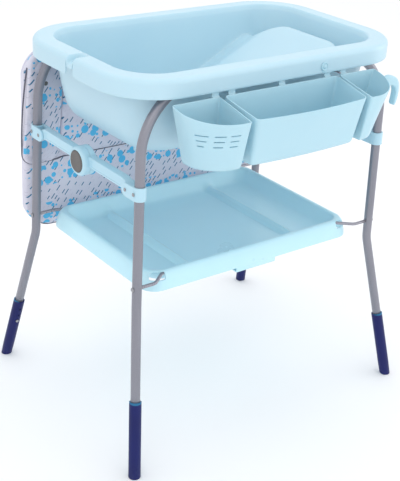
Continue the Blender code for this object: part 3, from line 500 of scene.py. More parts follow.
def turns(count):
    """Angles of equal steps round a full turn."""
    return [2.0 * pi * k / count for k in range(count)]


def quarter(steps):
    """Angles of equal steps over a quarter turn, both ends among them."""
    return [pi / 2.0 * k / steps for k in range(steps + 1)]


def circle(centre, axis, radius, count):
    side = axis.cross(Vector((0.0, 0.0, 1.0)))
    if side.length < 0.01:
        side = Vector((1.0, 0.0, 0.0))
    side.normalize()
    other = axis.cross(side).normalized()
    return [centre + side * (radius * cos(t)) + other * (radius * sin(t)) for t in turns(count)]


def eased(corners, radius, steps=4, closed=False, share=0.48):
    """Round the corners of a path as far as its straights allow; an open path keeps its two ends."""
    points = [Vector(c) for c in corners]
    inner = range(len(points)) if closed else range(1, len(points) - 1)
    path = [] if closed else points[:1]
    for i in inner:
        here = points[i]
        back, ahead = points[i - 1] - here, points[(i + 1) % len(points)] - here
        reach = min(radius, back.length * share, ahead.length * share)
        first, last = here + back.normalized() * reach, here + ahead.normalized() * reach
        for k in range(steps + 1):
            t = k / steps
            path.append(first.lerp(here, t).lerp(here.lerp(last, t), t))
    return path if closed else path + points[-1:]


def lathe(name, start, axis, profile, count, soft, steps=3):
    """A turned piece from (distance along the axis, radius) pairs, its edges slightly rounded."""
    a, direction = Vector(start), Vector(axis).normalized()
    line = eased([(profile[0][0], 0.0004), *profile, (profile[-1][0], 0.0004)], soft, steps)
    rings = [circle(a + direction * p.x, direction, p.y, count) for p in line]
    return raw(name, *skin(rings))


def filleted(corners, radii, steps):
    """Round the corners of a path with true arcs."""
    path = [Vector(corners[0])]
    for i in range(1, len(corners) - 1):
        here = Vector(corners[i])
        back = (Vector(corners[i - 1]) - here).normalized()
        ahead = (Vector(corners[i + 1]) - here).normalized()
        half = back.angle(ahead) / 2.0
        reach = radii[i] / tan(half)
        centre = here + (back + ahead).normalized() * (radii[i] / sin(half))
        first, last = here + back * reach - centre, here + ahead * reach - centre
        turn = first.angle(last)
        for k in range(steps[i] + 1):
            t = k / steps[i]
            weight = sin((1.0 - t) * turn) / sin(turn), sin(t * turn) / sin(turn)
            path.append(centre + first * weight[0] + last * weight[1])
    path.append(Vector(corners[-1]))
    return path


def sweep(name, path, radius, count, ends=0.0008):
    """A round bar along a path, carried without twist, with eased ends."""
    rings = []
    normal = None
    for i, point in enumerate(path):
        before = path[i] - path[i - 1] if i else path[1] - path[0]
        after = path[i + 1] - path[i] if i + 1 < len(path) else before
        tangent = (before.normalized() + after.normalized()).normalized()
        if normal is None:
            normal = tangent.cross(Vector((0.0, 1.0, 0.0)))
            if normal.length < 0.1:
                normal = tangent.cross(Vector((1.0, 0.0, 0.0)))
        normal = (normal - tangent * normal.dot(tangent)).normalized()
        other = tangent.cross(normal)
        around = [normal * cos(t) + other * sin(t) for t in turns(count)]
        full, small = [v * radius for v in around], [v * (radius - ends) for v in around]
        if i == 0:
            rings += [[point + v for v in small], [point + tangent * ends + v for v in full]]
        elif i == len(path) - 1:
            rings += [[point - tangent * ends + v for v in full], [point + v for v in small]]
        else:
            rings.append([point + v for v in full])
    return raw(name, *skin(rings))


def plate(name, outline, x0, x1, soft, segments=3):
    """An outline in Y and Z, extruded along X, with rounded edges."""
    return prism(name, [(x0, y, z) for y, z in outline], [(x1, y, z) for y, z in outline], soft, segments)


def prism(name, near, far, soft, segments=3):
    count = len(near)
    faces = [(k, (k + 1) % count, count + (k + 1) % count, count + k) for k in range(count)]
    faces += [tuple(range(count)), tuple(range(count, 2 * count))]
    obj = raw(name, near + far, faces)
    return bevelled(obj, soft, segments) if soft else obj


def block(name, low, high, soft=0.0, segments=3):
    (x0, y0, z0), (x1, y1, z1) = low, high
    flat = ((x0, y0), (x1, y0), (x1, y1), (x0, y1))
    return prism(name, [(x, y, z0) for x, y in flat], [(x, y, z1) for x, y in flat], soft, segments)


def spread(side_x, a, b):
    """Two distances from the middle as X values on one side, lower first."""
    return sorted((side_x * a, side_x * b))


def arc(cy, cz, radius, first, last, steps):
    return [(cy + radius * cos(t), cz + radius * sin(t))
            for t in (radians(first + (last - first) * k / steps) for k in range(steps + 1))]


def flowing(controls, steps):
    """Catmull-Rom points through control tuples of any length."""
    points = [np.array(c, float) for c in controls]
    last = len(points) - 1
    result = []
    for i in range(last):
        p0, p1, p2, p3 = (points[min(max(i + k, 0), last)] for k in (-1, 0, 1, 2))
        for k in range(steps):
            t = k / steps
            result.append(0.5 * (2.0 * p1 + (p2 - p0) * t + (2.0 * p0 - 5.0 * p1 + 4.0 * p2 - p3) * t * t
                                 + (3.0 * p1 - p0 - 3.0 * p2 + p3) * t ** 3))
    return result + [points[-1]]


def soft_step(value, low, high):
    """0 below low, 1 above high, with an eased rise between them."""
    t = min(1.0, max(0.0, (value - low) / (high - low)))
    return t * t * (3.0 - 2.0 * t)


def even_marks(count):
    """Places along a straight side, from +1 to -1, ends left out."""
    return [1.0 - 2.0 * k / count for k in range(1, count)]


def rounded(hx, hy, radius, z, marks, corner, cy=0.0):
    """A rounded rectangle ring; marks holds the places along its +Y, -X, -Y and +X sides."""
    middles = [(hx - radius, hy - radius), (-(hx - radius), hy - radius),
               (-(hx - radius), -(hy - radius)), (hx - radius, -(hy - radius))]
    ring = []
    for i, (px, py) in enumerate(middles):
        for k in range(corner + 1):
            t = pi / 2.0 * (i + k / corner)
            ring.append(Vector((px + radius * cos(t), cy + py + radius * sin(t), z)))
        nx, ny = middles[(i + 1) % 4]
        t = pi / 2.0 * (i + 1)
        first, last = ring[-1], Vector((nx + radius * cos(t), cy + ny + radius * sin(t), z))
        ring += [first.lerp(last, (1.0 - m) / 2.0) for m in marks[i]]
    return ring


def floor_fill(ring, spacing, height):
    """Points and triangles that fill a flat ring with an even grid, raised by height(x, y)."""
    edge = [Vector((p.x, p.y)) for p in ring]
    low = Vector((min(p.x for p in edge), min(p.y for p in edge)))
    high = Vector((max(p.x for p in edge), max(p.y for p in edge)))
    inside = []
    loop = np.array(edge)
    after = np.roll(loop, -1, 0)
    for i in range(1, int((high.x - low.x) / spacing) + 1):
        for k in range(1, int((high.y - low.y) / spacing) + 1):
            p = np.array((low.x + i * spacing, low.y + k * spacing))
            run = after - loop
            t = np.clip(((p - loop) * run).sum(1) / (run * run).sum(1), 0.0, 1.0)
            if np.hypot(*(loop + run * t[:, None] - p).T).min() < spacing * 0.6:
                continue
            above = (loop[:, 1] > p[1]) != (after[:, 1] > p[1])
            share = (p[1] - loop[:, 1]) / np.where(above, after[:, 1] - loop[:, 1], 1.0)
            cross = loop[:, 0] + share * run[:, 0]
            if (above & (cross > p[0])).sum() % 2:
                inside.append(Vector(p))
    sides = [(k, (k + 1) % len(edge)) for k in range(len(edge))]
    found = geometry.delaunay_2d_cdt(edge + inside, sides, [], 1, 1e-7)
    return [Vector((p.x, p.y, height(p.x, p.y))) for p in found[0]], found[2]


def hollow(name, over, below, floors, spacing, slit=(), slit_rings=(), edges=()):
    """A thin-walled vessel from two lists of rings, over the rim to the floor and back under it.

    The innermost rings are closed by floors that follow a height. The points in slit stay open
    in slit_rings, and edges holds the faces that close the wall beside them."""
    rings = over + below
    count, total = len(rings[0]), len(rings)
    points = [p for ring in rings for p in ring]
    faces = [face for i in range(total) if i != len(over) - 1
             for face in strip(i, (i + 1) % total, count, slit if i in slit_rings else ())]
    faces += edges
    for ring, height in zip((over[-1], below[0]), floors):
        filled, triangles = floor_fill(ring, spacing, height)
        for p, q in zip(filled, ring):
            p.z = q.z
        base = len(points)
        points += filled
        faces += [tuple(base + i for i in t) for t in triangles]
    return raw(name, points, faces)


# ---------------------------------------------------------------- frame tubes, rods, fasteners, feet

def lower_leg(z):
    """Leg centre below the bend, for the +X +Y leg."""
    t = (BEND[2] - z) / BEND[2]
    return BEND[0] + (FOOT[0] - BEND[0]) * t, BEND[1] + (FOOT[1] - BEND[1]) * t


def upper_leg(z):
    """Leg centre above the bend, for the +X +Y leg."""
    t = (z - BEND[2]) / (BAR_Z - BEND[2])
    return BEND[0] + (LEG_TOP[0] - BEND[0]) * t, BEND[1] + (LEG_TOP[1] - BEND[1]) * t


def leg_axis(side_x, side_y):
    return Vector((side_x * (FOOT[0] - BEND[0]), side_y * (FOOT[1] - BEND[1]), -BEND[2])).normalized()


def sleeve_point(side_x, side_y, below_top):
    tx, ty = lower_leg(SLEEVE_TOP_Z)
    top = Vector((side_x * tx, MID_Y + side_y * ty, SLEEVE_TOP_Z))
    return top + leg_axis(side_x, side_y) * below_top


def inward(side_x, side_y):
    """Square to the leg, facing the middle of the stand."""
    axis = leg_axis(side_x, side_y)
    flat = Vector((0.0, -side_y, 0.0))
    return (flat - axis * flat.dot(axis)).normalized()


def frame_tube(end, side_y):
    ex, ey = lower_leg(TUBE_END_Z)
    half = [(ex, ey, TUBE_END_Z), BEND, (*LEG_TOP, BAR_Z)]
    corners = [(-x, MID_Y + side_y * y, z) for x, y, z in half]
    corners += [(x, MID_Y + side_y * y, z) for x, y, z in reversed(half)]
    radii = [0.0, LEG_BEND_R, TOP_BEND_R, TOP_BEND_R, LEG_BEND_R, 0.0]
    tube = sweep("tube_" + end, filleted(corners, radii, [0, 10, 30, 30, 10, 0]), TUBE_R, 40)
    return place(tube, TUBE_PAINT, end + "_frame", [end + "_frame_tube"], "tube_grey", 50.0)


def cross_rod(end, side_y):
    """Thin rod between the legs, stepped inwards where the tray hooks over it."""
    lx, ly = upper_leg(ROD_Z)
    ends = lx - TUBE_R - GAP
    leg_y, tray_y = MID_Y + side_y * ly, TRAY_MID_Y + side_y * ROD_REACH
    half = [(ends, leg_y, ROD_Z), (0.306, leg_y, ROD_Z), (0.266, tray_y, ROD_Z)]
    corners = [(-x, y, z) for x, y, z in half] + list(reversed(half))
    path = filleted(corners, [0.0, 0.02, 0.02, 0.02, 0.02, 0.0], [0, 8, 8, 8, 8, 0])
    rod = sweep("rod_" + end, path, ROD_R, 24, 0.0004)
    return place(rod, WIRE_PAINT, end + "_frame", [end + "_rod"], "wire_grey", 50.0)


def fastener(name, side_x, out, y, z, profile, body):
    """A turned pin, bolt or rivet along X that stands for the frame node of the same name."""
    made = lathe(name + "_turned", (side_x * out, y, z), (side_x, 0.0, 0.0), profile, 36, 0.0005)
    return place(made, RIVET_STEEL, body, [name], "steel", 40.0)


def frame_fasteners(end, side_y, side, side_x):
    tag, body = end + "_" + side, end + "_frame"
    lx, ly = upper_leg(ROD_Z)
    head = [(0.0, 0.0052), (0.0012, 0.0052), (0.0028, 0.0038), (0.0034, 0.0018), (0.0026, 0.0014)]
    fastener("rod_bolt_" + tag, side_x, lx + TUBE_R + GAP, MID_Y + side_y * ly, ROD_Z, head, body)
    px, py = upper_leg(PIVOT_Z)
    head = [(0.0, 0.0026), (0.0022, 0.0026), (0.0022, 0.0042), (0.003, 0.0042), (0.0038, 0.003),
            (0.0032, 0.0016)]
    fastener("clamp_rivet_" + tag, side_x, EAR_OUT - 0.0017, MID_Y + side_y * py, PIVOT_Z, head, body)
    inner = 2.0 * px - EAR_OUT
    span = EAR_OUT - inner
    line = [(0.0, 0.0042), (0.0013, 0.0042), (0.0013, 0.003), (span + 0.0019, 0.003),
            (span + 0.0019, 0.0042), (span + 0.0027, 0.0042), (span + 0.0035, 0.003), (span + 0.0029, 0.0016)]
    fastener("pivot_pin_" + tag, side_x, inner - 0.0016, MID_Y + side_y * PIVOT_Y, PIVOT_Z, line, body)


def foot(end, side_y, side, side_x):
    """Height-adjusting sleeve: eased mouth, row of stud holes, rounded sole edge."""
    tag = end + "_" + side
    axis = leg_axis(side_x, side_y)
    top = sleeve_point(side_x, side_y, 0.0)
    bore = SLEEVE_R - 0.0028
    profile = [(0.022, 0.0004), (0.022, bore), (0.0, bore), (0.0, SLEEVE_R), (0.15, SLEEVE_R)]
    profile = eased(profile, 0.0009, 5)
    rings = [circle(top + axis * p.x, axis, p.y, 48) for p in profile]
    for t in quarter(8):
        inset, lift = SOLE_EDGE * (1.0 - cos(t)), SOLE_EDGE * (1.0 - sin(t))
        middle = top + axis * ((SLEEVE_TOP_Z - lift) / -axis.z)
        ring = circle(middle, axis, SLEEVE_R - inset, 48)
        rings.append([Vector((p.x, p.y, lift)) for p in ring])
    shell = raw("sleeve_" + tag, *skin(rings))
    out = inward(side_x, side_y)
    for hole, radius, deep in ((0, 0.0034, 0.0122), (1, 0.0034, 0.0122), (2, 0.005, 0.008)):
        mouth = sleeve_point(side_x, side_y, FIRST_HOLE + hole * HOLE_PITCH)
        cut(shell, raw("hole", *skin([circle(mouth + out * d, out, radius, 24) for d in (deep, 0.02)])))
    place(shell, NAVY, "foot_" + tag, ["foot_" + tag], "navy", 40.0)
    centre = sleeve_point(side_x, side_y, FIRST_HOLE + 2 * HOLE_PITCH)
    profile = [(0.0, 0.0043), (0.0018, 0.0043), (0.0028, 0.0032), (0.0032, 0.0015)]
    stud = lathe("stud_" + tag, centre + out * (SLEEVE_R - 0.0008), out, profile, 32, 0.0008)
    place(stud, RIVET_STEEL, "foot_button_" + tag, ["foot_button_" + tag], "steel", 40.0)


# ---------------------------------------------------------------- side braces

def shifted(outline, side=1.0):
    return [(MID_Y + side * y, z) for y, z in outline]


def clamp(end, side_y, side, side_x):
    """Band round the leg with a forked ear; its edges are eased and its cheeks stand proud."""
    tag = end + "_" + side
    lx, ly = upper_leg(PIVOT_Z)
    bottom, top = (Vector((side_x * upper_leg(z)[0], MID_Y + side_y * upper_leg(z)[1], z))
                   for z in (PIVOT_Z - CLAMP_HALF, PIVOT_Z + CLAMP_HALF))
    lean = (top - bottom).normalized()
    reach = (top - bottom).length
    line = eased([(0.0, 0.0116), (0.0, 0.0148), (reach, 0.0148), (reach, 0.0116)], 0.0014, 5)
    rings = [circle(bottom + lean * p.x, lean, p.y, 56) for p in line]
    band = raw("band", *skin(rings, closed=True))
    inner = 2.0 * lx - EAR_OUT
    cheeks = []
    for x0, x1 in ((BRACE_X + BAR_HALF + GAP, EAR_OUT), (inner, BRACE_X - BAR_HALF - GAP)):
        near = arc(PIVOT_Y, PIVOT_Z, CLAMP_HALF, 90.0, 270.0, 24)
        far = [(ly + 0.0002, PIVOT_Z - CLAMP_HALF), (ly + 0.0002, PIVOT_Z + CLAMP_HALF)]
        cheeks.append(plate("cheek", shifted(near + far, side_y), *spread(side_x, x0, x1), 0.0008))
    web_y = sorted((MID_Y + side_y * (ly - 0.014), MID_Y + side_y * (ly - 0.0085)))
    web_x = spread(side_x, inner, EAR_OUT)
    web = block("web", (web_x[0], web_y[0], PIVOT_Z - 0.0152),
                (web_x[1], web_y[1], PIVOT_Z + 0.0152), 0.0008)
    made = joined(joined(joined(band, cheeks[0]), cheeks[1]), web)
    bore = [circle(bottom + lean * d, lean, TUBE_R + GAP, 56) for d in (-0.01, reach + 0.01)]
    cut(made, raw("bore", *skin(bore)))
    made.name = "clamp_band_" + tag
    return place(made, BLUE_BRACE, end + "_frame", ["clamp_" + tag], "brace_blue", 32.0)


def brace_line(side):
    """Outline of the bar from the pivot to the hub."""
    outline = [(PIVOT_Y + y, PIVOT_Z + z) for y, z in arc(0.0, 0.0, 0.0135, 30.0, -100.0, 24)]
    outline += [(PIVOT_Y - 0.022, PIVOT_Z - 0.0055), (0.03, PIVOT_Z - 0.0055), (0.03, PIVOT_Z + 0.0195)]
    outline += [(PIVOT_Y - 0.022, PIVOT_Z + 0.0195), (PIVOT_Y - 0.01, PIVOT_Z + 0.0165)]
    return shifted(outline, side)


def brace(end, side_y, side, side_x):
    """Half of a side brace: a channelled bar and its half of the hub."""
    tag = end + "_" + side
    if side_y > 0:
        hub_from, link = HUB_SPLIT + GAP, (HUB_SPLIT + GAP, BRACE_X + BAR_HALF)
        depth = HUB_OUT - hub_from
        face = [(0.0, HUB_R), (HUB_OUT - HUB_SPLIT - 0.006, HUB_R), (depth - 0.0012, HUB_R - 0.0026),
                (depth, HUB_R - 0.0066), (depth, DISC_R + 0.001), (depth - 0.0064, DISC_R + 0.0004)]
    else:
        hub_from, link = HUB_IN, (BRACE_X - BAR_HALF, HUB_SPLIT - GAP)
        face = [(0.0, HUB_R - 0.004), (0.004, HUB_R), (HUB_SPLIT - GAP - hub_from, HUB_R)]
    wide = spread(side_x, BRACE_X - BAR_HALF, BRACE_X + BAR_HALF)
    bar = plate("bar", brace_line(side_y), *wide, 0.0014, 4)
    neck = [(0.06, -0.005), (0.06, 0.019), (0.012, 0.019), (0.012, -0.005)]
    neck = shifted([(y, PIVOT_Z + z) for y, z in neck], side_y)
    joined(bar, plate("neck", neck, *spread(side_x, *link), 0.0))
    hub = lathe("hub", (side_x * hub_from, MID_Y, PIVOT_Z), (side_x, 0.0, 0.0), face, 72, 0.0016, 4)
    joined(bar, hub)
    channel = [(PIVOT_Y - 0.026, PIVOT_Z - 0.001), (0.044, PIVOT_Z - 0.001), (0.044, PIVOT_Z + 0.015),
               (PIVOT_Y - 0.026, PIVOT_Z + 0.015)]
    for sign in (-1.0, 1.0):
        wide = spread(side_x, BRACE_X + sign * (BAR_HALF - 0.0009), BRACE_X + sign * 0.015)
        cut(bar, plate("channel", shifted(channel, side_y), *wide, 0.0))
    bar.name = "brace_arm_" + tag
    return place(bar, BLUE_BRACE, end + "_arm_" + side, ["brace_" + tag], "brace_blue", 32.0)


def hub_parts(side, side_x):
    line = [(0.0, 0.006), (0.0013, 0.006), (0.0013, 0.004), (0.025, 0.004)]
    fastener("hub_pin_" + side, side_x, HUB_IN - 0.0016, MID_Y, PIVOT_Z, line, "rear_arm_" + side)
    start = (side_x * (HUB_OUT - 0.0033), MID_Y, PIVOT_Z)
    line = [(0.0, DISC_R), (0.0036, DISC_R), (0.0046, DISC_R - 0.0012), (0.005, DISC_R - 0.004)]
    line += [(0.0047, DISC_R - 0.01), (0.0044, 0.006)]
    disc = lathe("disc_" + side, start, (side_x, 0.0, 0.0), line, 72, 0.0008, 4)
    place(disc, DISC, "hub_button_" + side, ["hub_button_" + side], "disc_grey", 40.0)


# ---------------------------------------------------------------- tub

SEAT_START, SEAT_SLOPE, SEAT_TOP = -0.03, 0.485, 0.874
GROOVE = (-0.0275, 0.0025)
GROOVE_DEPTH = 0.0135
CORNER = 18
RIM_RADIUS = 0.138
RIM_STRAIGHT = RIM_Y - RIM_RADIUS
RIM_EDGE = 0.012
UNDER_FLOOR, UNDER_SEAT = 0.004, -0.0035


def groove_marks():
    """Places along the left side, closer together at the groove's edges."""
    edges = [y for edge in GROOVE for y in (edge + 0.0008 * k for k in range(-10, 11))]
    middle = [GROOVE[0] + (GROOVE[1] - GROOVE[0]) * k / 8.0 for k in range(3, 6)]
    near = [y / RIM_STRAIGHT for y in edges + middle]
    coarse = [m for m in even_marks(24) if min(abs(m - n) for n in near) > 0.03]
    return sorted(coarse + near, reverse=True)


TUB_MARKS = [even_marks(56), groove_marks(), even_marks(56), even_marks(30)]


def tub_ring(half_x, half_y, radius, z):
    return rounded(half_x, half_y, radius, z, TUB_MARKS, CORNER, MID_Y)


SEAT_MID_X, SEAT_HALF_X, SEAT_HALF_Y, SEAT_CORNER = 0.09, 0.15, 0.07, 0.07


def seat_height(x, y):
    """Inner floor: flat on the left, a sloping back rest with a rounded end on the right."""
    y -= MID_Y
    run = x - SEAT_START
    ramp = min(TUB_FLOOR + SEAT_SLOPE * (run + sqrt(run * run + 0.0009)) / 2.0, SEAT_TOP)
    outside = hypot(max(0.0, abs(x - SEAT_MID_X) - SEAT_HALF_X), max(0.0, abs(y) - SEAT_HALF_Y)) - SEAT_CORNER
    away = soft_step(outside, -0.016, 0.028)
    drop = 0.014 * soft_step(x, -0.05, 0.1) + 0.055 * soft_step(x, 0.24, 0.315)
    return max(TUB_FLOOR, ramp - drop * away)


def lifted_height(x, y, z, shift):
    """The higher of z and the inner floor, blended where the two meet."""
    over = seat_height(x, y) + shift
    above = z - over
    return over + (above + sqrt(above * above + 0.00002)) / 2.0


def lifted(ring, shift):
    return [Vector((p.x, p.y, lifted_height(p.x, p.y, p.z, shift))) for p in ring]


def groove_drop(p):
    """How far the rim is lowered where the strap groove crosses its left side."""
    y = p.y - MID_Y
    across = soft_step(y, GROOVE[0], GROOVE[0] + 0.0055) - soft_step(y, GROOVE[1] - 0.0055, GROOVE[1])
    end = soft_step(-p.x, RIM_X - 0.041, RIM_X - 0.033)
    return GROOVE_DEPTH * max(0.0, across) * end


def rim_level(inset, z):
    return RIM_X - inset, RIM_Y - inset, RIM_RADIUS - inset, z


def tub_levels():
    """(half x, half y, corner, height) of the skirt, the rim and the inner wall, outside to inside."""
    skirt = [(0.0, RIM_BOTTOM + 0.0008 + 0.0293 * k / 7.0) for k in range(8)]
    turn = [(RIM_EDGE * (1.0 - cos(t)), RIM_TOP - RIM_EDGE + RIM_EDGE * sin(t))
            for t in quarter(10)[1:]]
    top = [(d, RIM_TOP) for d in (0.018, 0.025, 0.032, 0.038)] + [(0.042, RIM_TOP + 0.0002)]
    rim = [rim_level(*level) for level in skirt + turn + top]
    lip = [(0.3555, 0.2055, 0.094, RIM_TOP + 0.0002), (0.354, 0.204, 0.093, RIM_TOP - 0.0008),
           (0.3529, 0.2028, 0.092, RIM_TOP - 0.0026), (0.3518, 0.2015, 0.09, RIM_TOP - 0.005)]
    wall = [(0.349, 0.1985, 0.088, 0.89), (0.347, 0.1965, 0.086, 0.878), (0.3435, 0.1935, 0.084, 0.85),
            (0.34, 0.1905, 0.082, 0.825), (0.335, 0.1865, 0.08, 0.795), (0.329, 0.1825, 0.078, 0.768),
            (0.321, 0.178, 0.075, 0.745), (0.309, 0.17, 0.07, 0.727), (0.293, 0.159, 0.063, 0.7165),
            (0.274, 0.145, 0.054, TUB_FLOOR)]
    return skirt, rim + lip, flowing(wall, 4)


def tub_shell():
    skirt, rim, wall = tub_levels()
    over = [tub_ring(*level) for level in rim] + [lifted(tub_ring(*level), 0.0) for level in wall]
    under = [(hx + WALL, hy + WALL, r + WALL, z - UNDER_FLOOR * soft_step(0.88 - z, -0.01, 0.03))
             for hx, hy, r, z in wall[6:]]
    under = [lifted(tub_ring(*level), UNDER_SEAT) for level in under]
    inner_rim = [(0.3535, 0.203, 0.092, RIM_TOP - 0.0052), (0.357, 0.207, 0.096, RIM_TOP - 0.0034),
                 rim_level(RIM_EDGE, RIM_TOP - 0.0034)]
    inner_rim += [rim_level(WALL + 0.009 * (1.0 - cos(t)), RIM_TOP - RIM_EDGE + 0.0086 * sin(t))
                  for t in quarter(6)[-2:0:-1]]
    inner_skirt = [rim_level(WALL, z) for d, z in reversed(skirt)]
    edge = [rim_level(d, RIM_BOTTOM) for d in (0.0024, 0.0006)]
    below = list(reversed(under)) + [tub_ring(*level) for level in inner_rim + inner_skirt + edge]
    over, below = ([[Vector((p.x, p.y, p.z - groove_drop(p))) for p in ring] for ring in rings]
                   for rings in (over, below))
    return over, below, len(skirt)


def rounded_slit(rings, levels):
    """Round the skirt's lower corners beside the slit."""
    radius, hinge = 0.0085, RIM_BOTTOM + 0.024
    for ring in levels:
        for p in rings[ring]:
            y = p.y - MID_Y
            near = min(abs(y - GROOVE[0]), abs(y - GROOVE[1]))
            if p.x > -RIM_X + 0.02 or GROOVE[0] < y < GROOVE[1] or near > radius or p.z > hinge:
                continue
            lift = radius - sqrt(radius * radius - (radius - near) ** 2)
            p.z = hinge - (hinge - p.z) * (hinge - RIM_BOTTOM - lift) / (hinge - RIM_BOTTOM)


def tub():
    over, below, skirt = tub_shell()
    rings = over + below
    count, total = len(rings[0]), len(rings)
    first_inner = total - skirt - 2
    rounded_slit(rings, [*range(skirt), *range(first_inner, total)])
    gap = [k for k, p in enumerate(rings[0])
           if p.x < -RIM_X + 0.0005 and GROOVE[0] - 0.0001 < p.y - MID_Y < GROOVE[1] + 0.0001]
    outer, inner = range(skirt - 1, -1, -1), range(first_inner, total)
    sides = [(outer[a], outer[a + 1], inner[a + 1], inner[a]) for a in range(skirt - 1)]
    sides.append((outer[-1], total - 1, total - 2, inner[skirt - 1]))
    edges = [tuple(i * count + k for i in side) for k in (gap[0], gap[-1]) for side in sides]
    edges += [((skirt - 1) * count + k, (skirt - 1) * count + k + 1,
               first_inner * count + k + 1, first_inner * count + k) for k in gap[:-1]]
    floors = (lambda x, y: lifted_height(x, y, TUB_FLOOR, 0.0),
              lambda x, y: lifted_height(x, y, TUB_FLOOR - UNDER_FLOOR, UNDER_SEAT))
    shell = hollow("tub_shell", over, below, floors, 0.0045,
                   gap[:-1], {*range(skirt - 1), *range(first_inner, total)}, edges)
    pads = []
    for x, y in ((-0.278, 0.105), (-0.278, -0.105), (-0.1, 0.125), (-0.1, -0.125)):
        line = [(0.0, 0.0085), (0.003, 0.012), (0.014, 0.012)]
        pads.append(lathe("pad", (x, MID_Y + y, TUB_LOW.z), (0.0, 0.0, 1.0), line, 40, 0.0012))
    made = together("tub_shell_with_pads", [shell, *pads])
    return place(made, BLUE, "tub", ["tub"], "tub_blue", 40.0)


def rim_plug():
    """Stopper with a dished cap and a pull tab, pushed into the front skirt."""
    low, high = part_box("rim_plug")
    middle = (low.x + high.x) / 2.0
    start = (middle, MID_Y - RIM_Y + 0.0035, 0.876)
    line = [(0.0, 0.004), (0.0038, 0.004), (0.0038, 0.01), (0.0058, 0.01), (0.0074, 0.0086)]
    line += [(0.006, 0.0072), (0.006, 0.005), (0.008, 0.0034)]
    cap = lathe("cap", start, (0.0, -1.0, 0.0), line, 56, 0.0007, 4)
    tab = block("tab", (middle - 0.0045, low.y + 0.0032, 0.862),
                (middle + 0.0045, low.y + 0.0054, 0.872), 0.0009)
    made = together("stopper", [cap, tab])
    return place(made, BLUE_BOX, "rim_plug", ["rim_plug"], "tub_blue", 40.0)


# ---------------------------------------------------------------- tray

TRAY_WALL = 0.0028
RIDGE_X = 0.163
LIP_HALF = 0.06
NOTCH_X, NOTCH_Z = (0.2635, 0.2995), (0.4215, 0.4385)


def ridge(x, y):
    """Height of the two dividers above the tray floor: a bead with a shoulder, lower at its ends."""
    total = 0.0
    for centre in (-RIDGE_X, RIDGE_X):
        d = abs(x - centre)
        crest = 0.0098 * (1.0 - soft_step(d, 0.008, 0.0175)) + 0.0036 * exp(-(d / 0.0034) ** 2)
        total += crest * (1.0 - 0.25 * soft_step(abs(y - TRAY_MID_Y), 0.12, 0.172))
    return total


def tray_levels():
    outer = [(0.0002, 0.397), (0.0, 0.3985), (0.0008, 0.408), (0.003, 0.42), (0.007, 0.433),
             (0.011, 0.4385), (0.014, 0.44), (0.0165, TRAY_TOP + 0.0003), (0.02, 0.4399),
             (0.0222, 0.4388), (0.0238, 0.4365)]
    rim = [(TRAY_X - d, TRAY_Y - d, max(0.034, 0.04 - 0.3 * d), z) for d, z in outer]
    wall = [(0.2872, 0.198, 0.034, 0.433), (0.28, 0.1915, 0.032, 0.419), (0.272, 0.1845, 0.03, 0.408),
            (0.262, 0.176, 0.028, 0.4035), (0.25, 0.166, 0.026, TRAY_FLOOR)]
    return rim, flowing(wall, 5)


def tray():
    """Shallow tray, rim turned down outside, two dividers, finger lip under the front edge."""
    marks = [even_marks(60), even_marks(40), even_marks(60), even_marks(40)]

    def ring(hx, hy, r, z, lift=True):
        line = rounded(hx, hy, r, z, marks, 12, TRAY_MID_Y)
        if lift:
            for p in line:
                p.z += ridge(p.x, p.y) * (1.0 - soft_step(z, TRAY_FLOOR, TRAY_FLOOR + 0.03))
        return line

    rim, wall = tray_levels()
    over = [ring(*level, lift=False) for level in rim] + [ring(*level) for level in wall]
    under = [ring(hx + 0.0025, hy + 0.0025, r + 0.0025, z - TRAY_WALL) for hx, hy, r, z in wall[2:]]
    back = [(0.024, 0.436), (0.02, 0.437), (0.014, 0.4368), (0.0105, 0.432), (0.0056, 0.419),
            (0.0034, 0.408), (0.0027, 0.398), (0.0022, 0.397)]
    below = list(reversed(under))
    below += [ring(TRAY_X - d, TRAY_Y - d, 0.0375 - 0.3 * d, z, False) for d, z in back]
    floors = (lambda x, y: TRAY_FLOOR + ridge(x, y),
              lambda x, y: TRAY_FLOOR + ridge(x, y) - TRAY_WALL)
    shell = hollow("tray_shell", over, below, floors, 0.0035)
    front = TRAY_MID_Y - TRAY_Y
    rods = ((front - 0.012, TRAY_MID_Y - ROD_REACH + 0.006),
            (TRAY_MID_Y + ROD_REACH - 0.006, TRAY_MID_Y + TRAY_Y + 0.012))
    for side_x in (-1.0, 1.0):
        for y0, y1 in rods:
            x0, x1 = spread(side_x, *NOTCH_X)
            cut(shell, block("notch", (x0, y0, NOTCH_Z[0]), (x1, y1, NOTCH_Z[1]), 0.0035, 4))
    lip = [(0.024, 0.385), (0.0006, 0.385), (0.0006, 0.4005), (0.003, 0.4005),
           (0.003, 0.3885), (0.024, 0.3885)]
    lip = prism("lip", *([(x, front + y, z) for y, z in lip] for x in (-LIP_HALF, LIP_HALF)), 0.001)
    made = together("tray_shell_with_lip", [shell, lip])
    # The tray takes the paler blue, its painted light for the shade under the tub.
    return place(made, BLUE_TRAY_PAINTED_LIGHTER, "tray", ["tray"], "tray_blue", 40.0)


# ---------------------------------------------------------------- boxes under the front bar

def offset(outline, grow):
    """Move a closed outline outwards, whichever way round it is drawn."""
    points = [Vector((p[0], p[1])) for p in outline]
    area = sum(a.cross(b) for a, b in zip(points, points[1:] + points[:1]))
    reach = copysign(grow, area * grow)
    moved = []
    for i, point in enumerate(points):
        along = points[(i + 1) % len(points)] - points[i - 1]
        moved.append(point + Vector((along.y, -along.x)).normalized() * reach)
    return moved


def softened(corners, radius):
    return eased(corners, radius, 8, True, 0.45)


def centre_plan():
    front = [(x, 0.1085 + 0.0085 * (1.0 - (x / 0.158) ** 2)) for x in (0.158 * m for m in even_marks(12))]
    corners = [(-0.165, 0.0), (-0.158, 0.1085), *reversed(front), (0.158, 0.1085), (0.162, 0.0)]
    return softened(corners, 0.012)


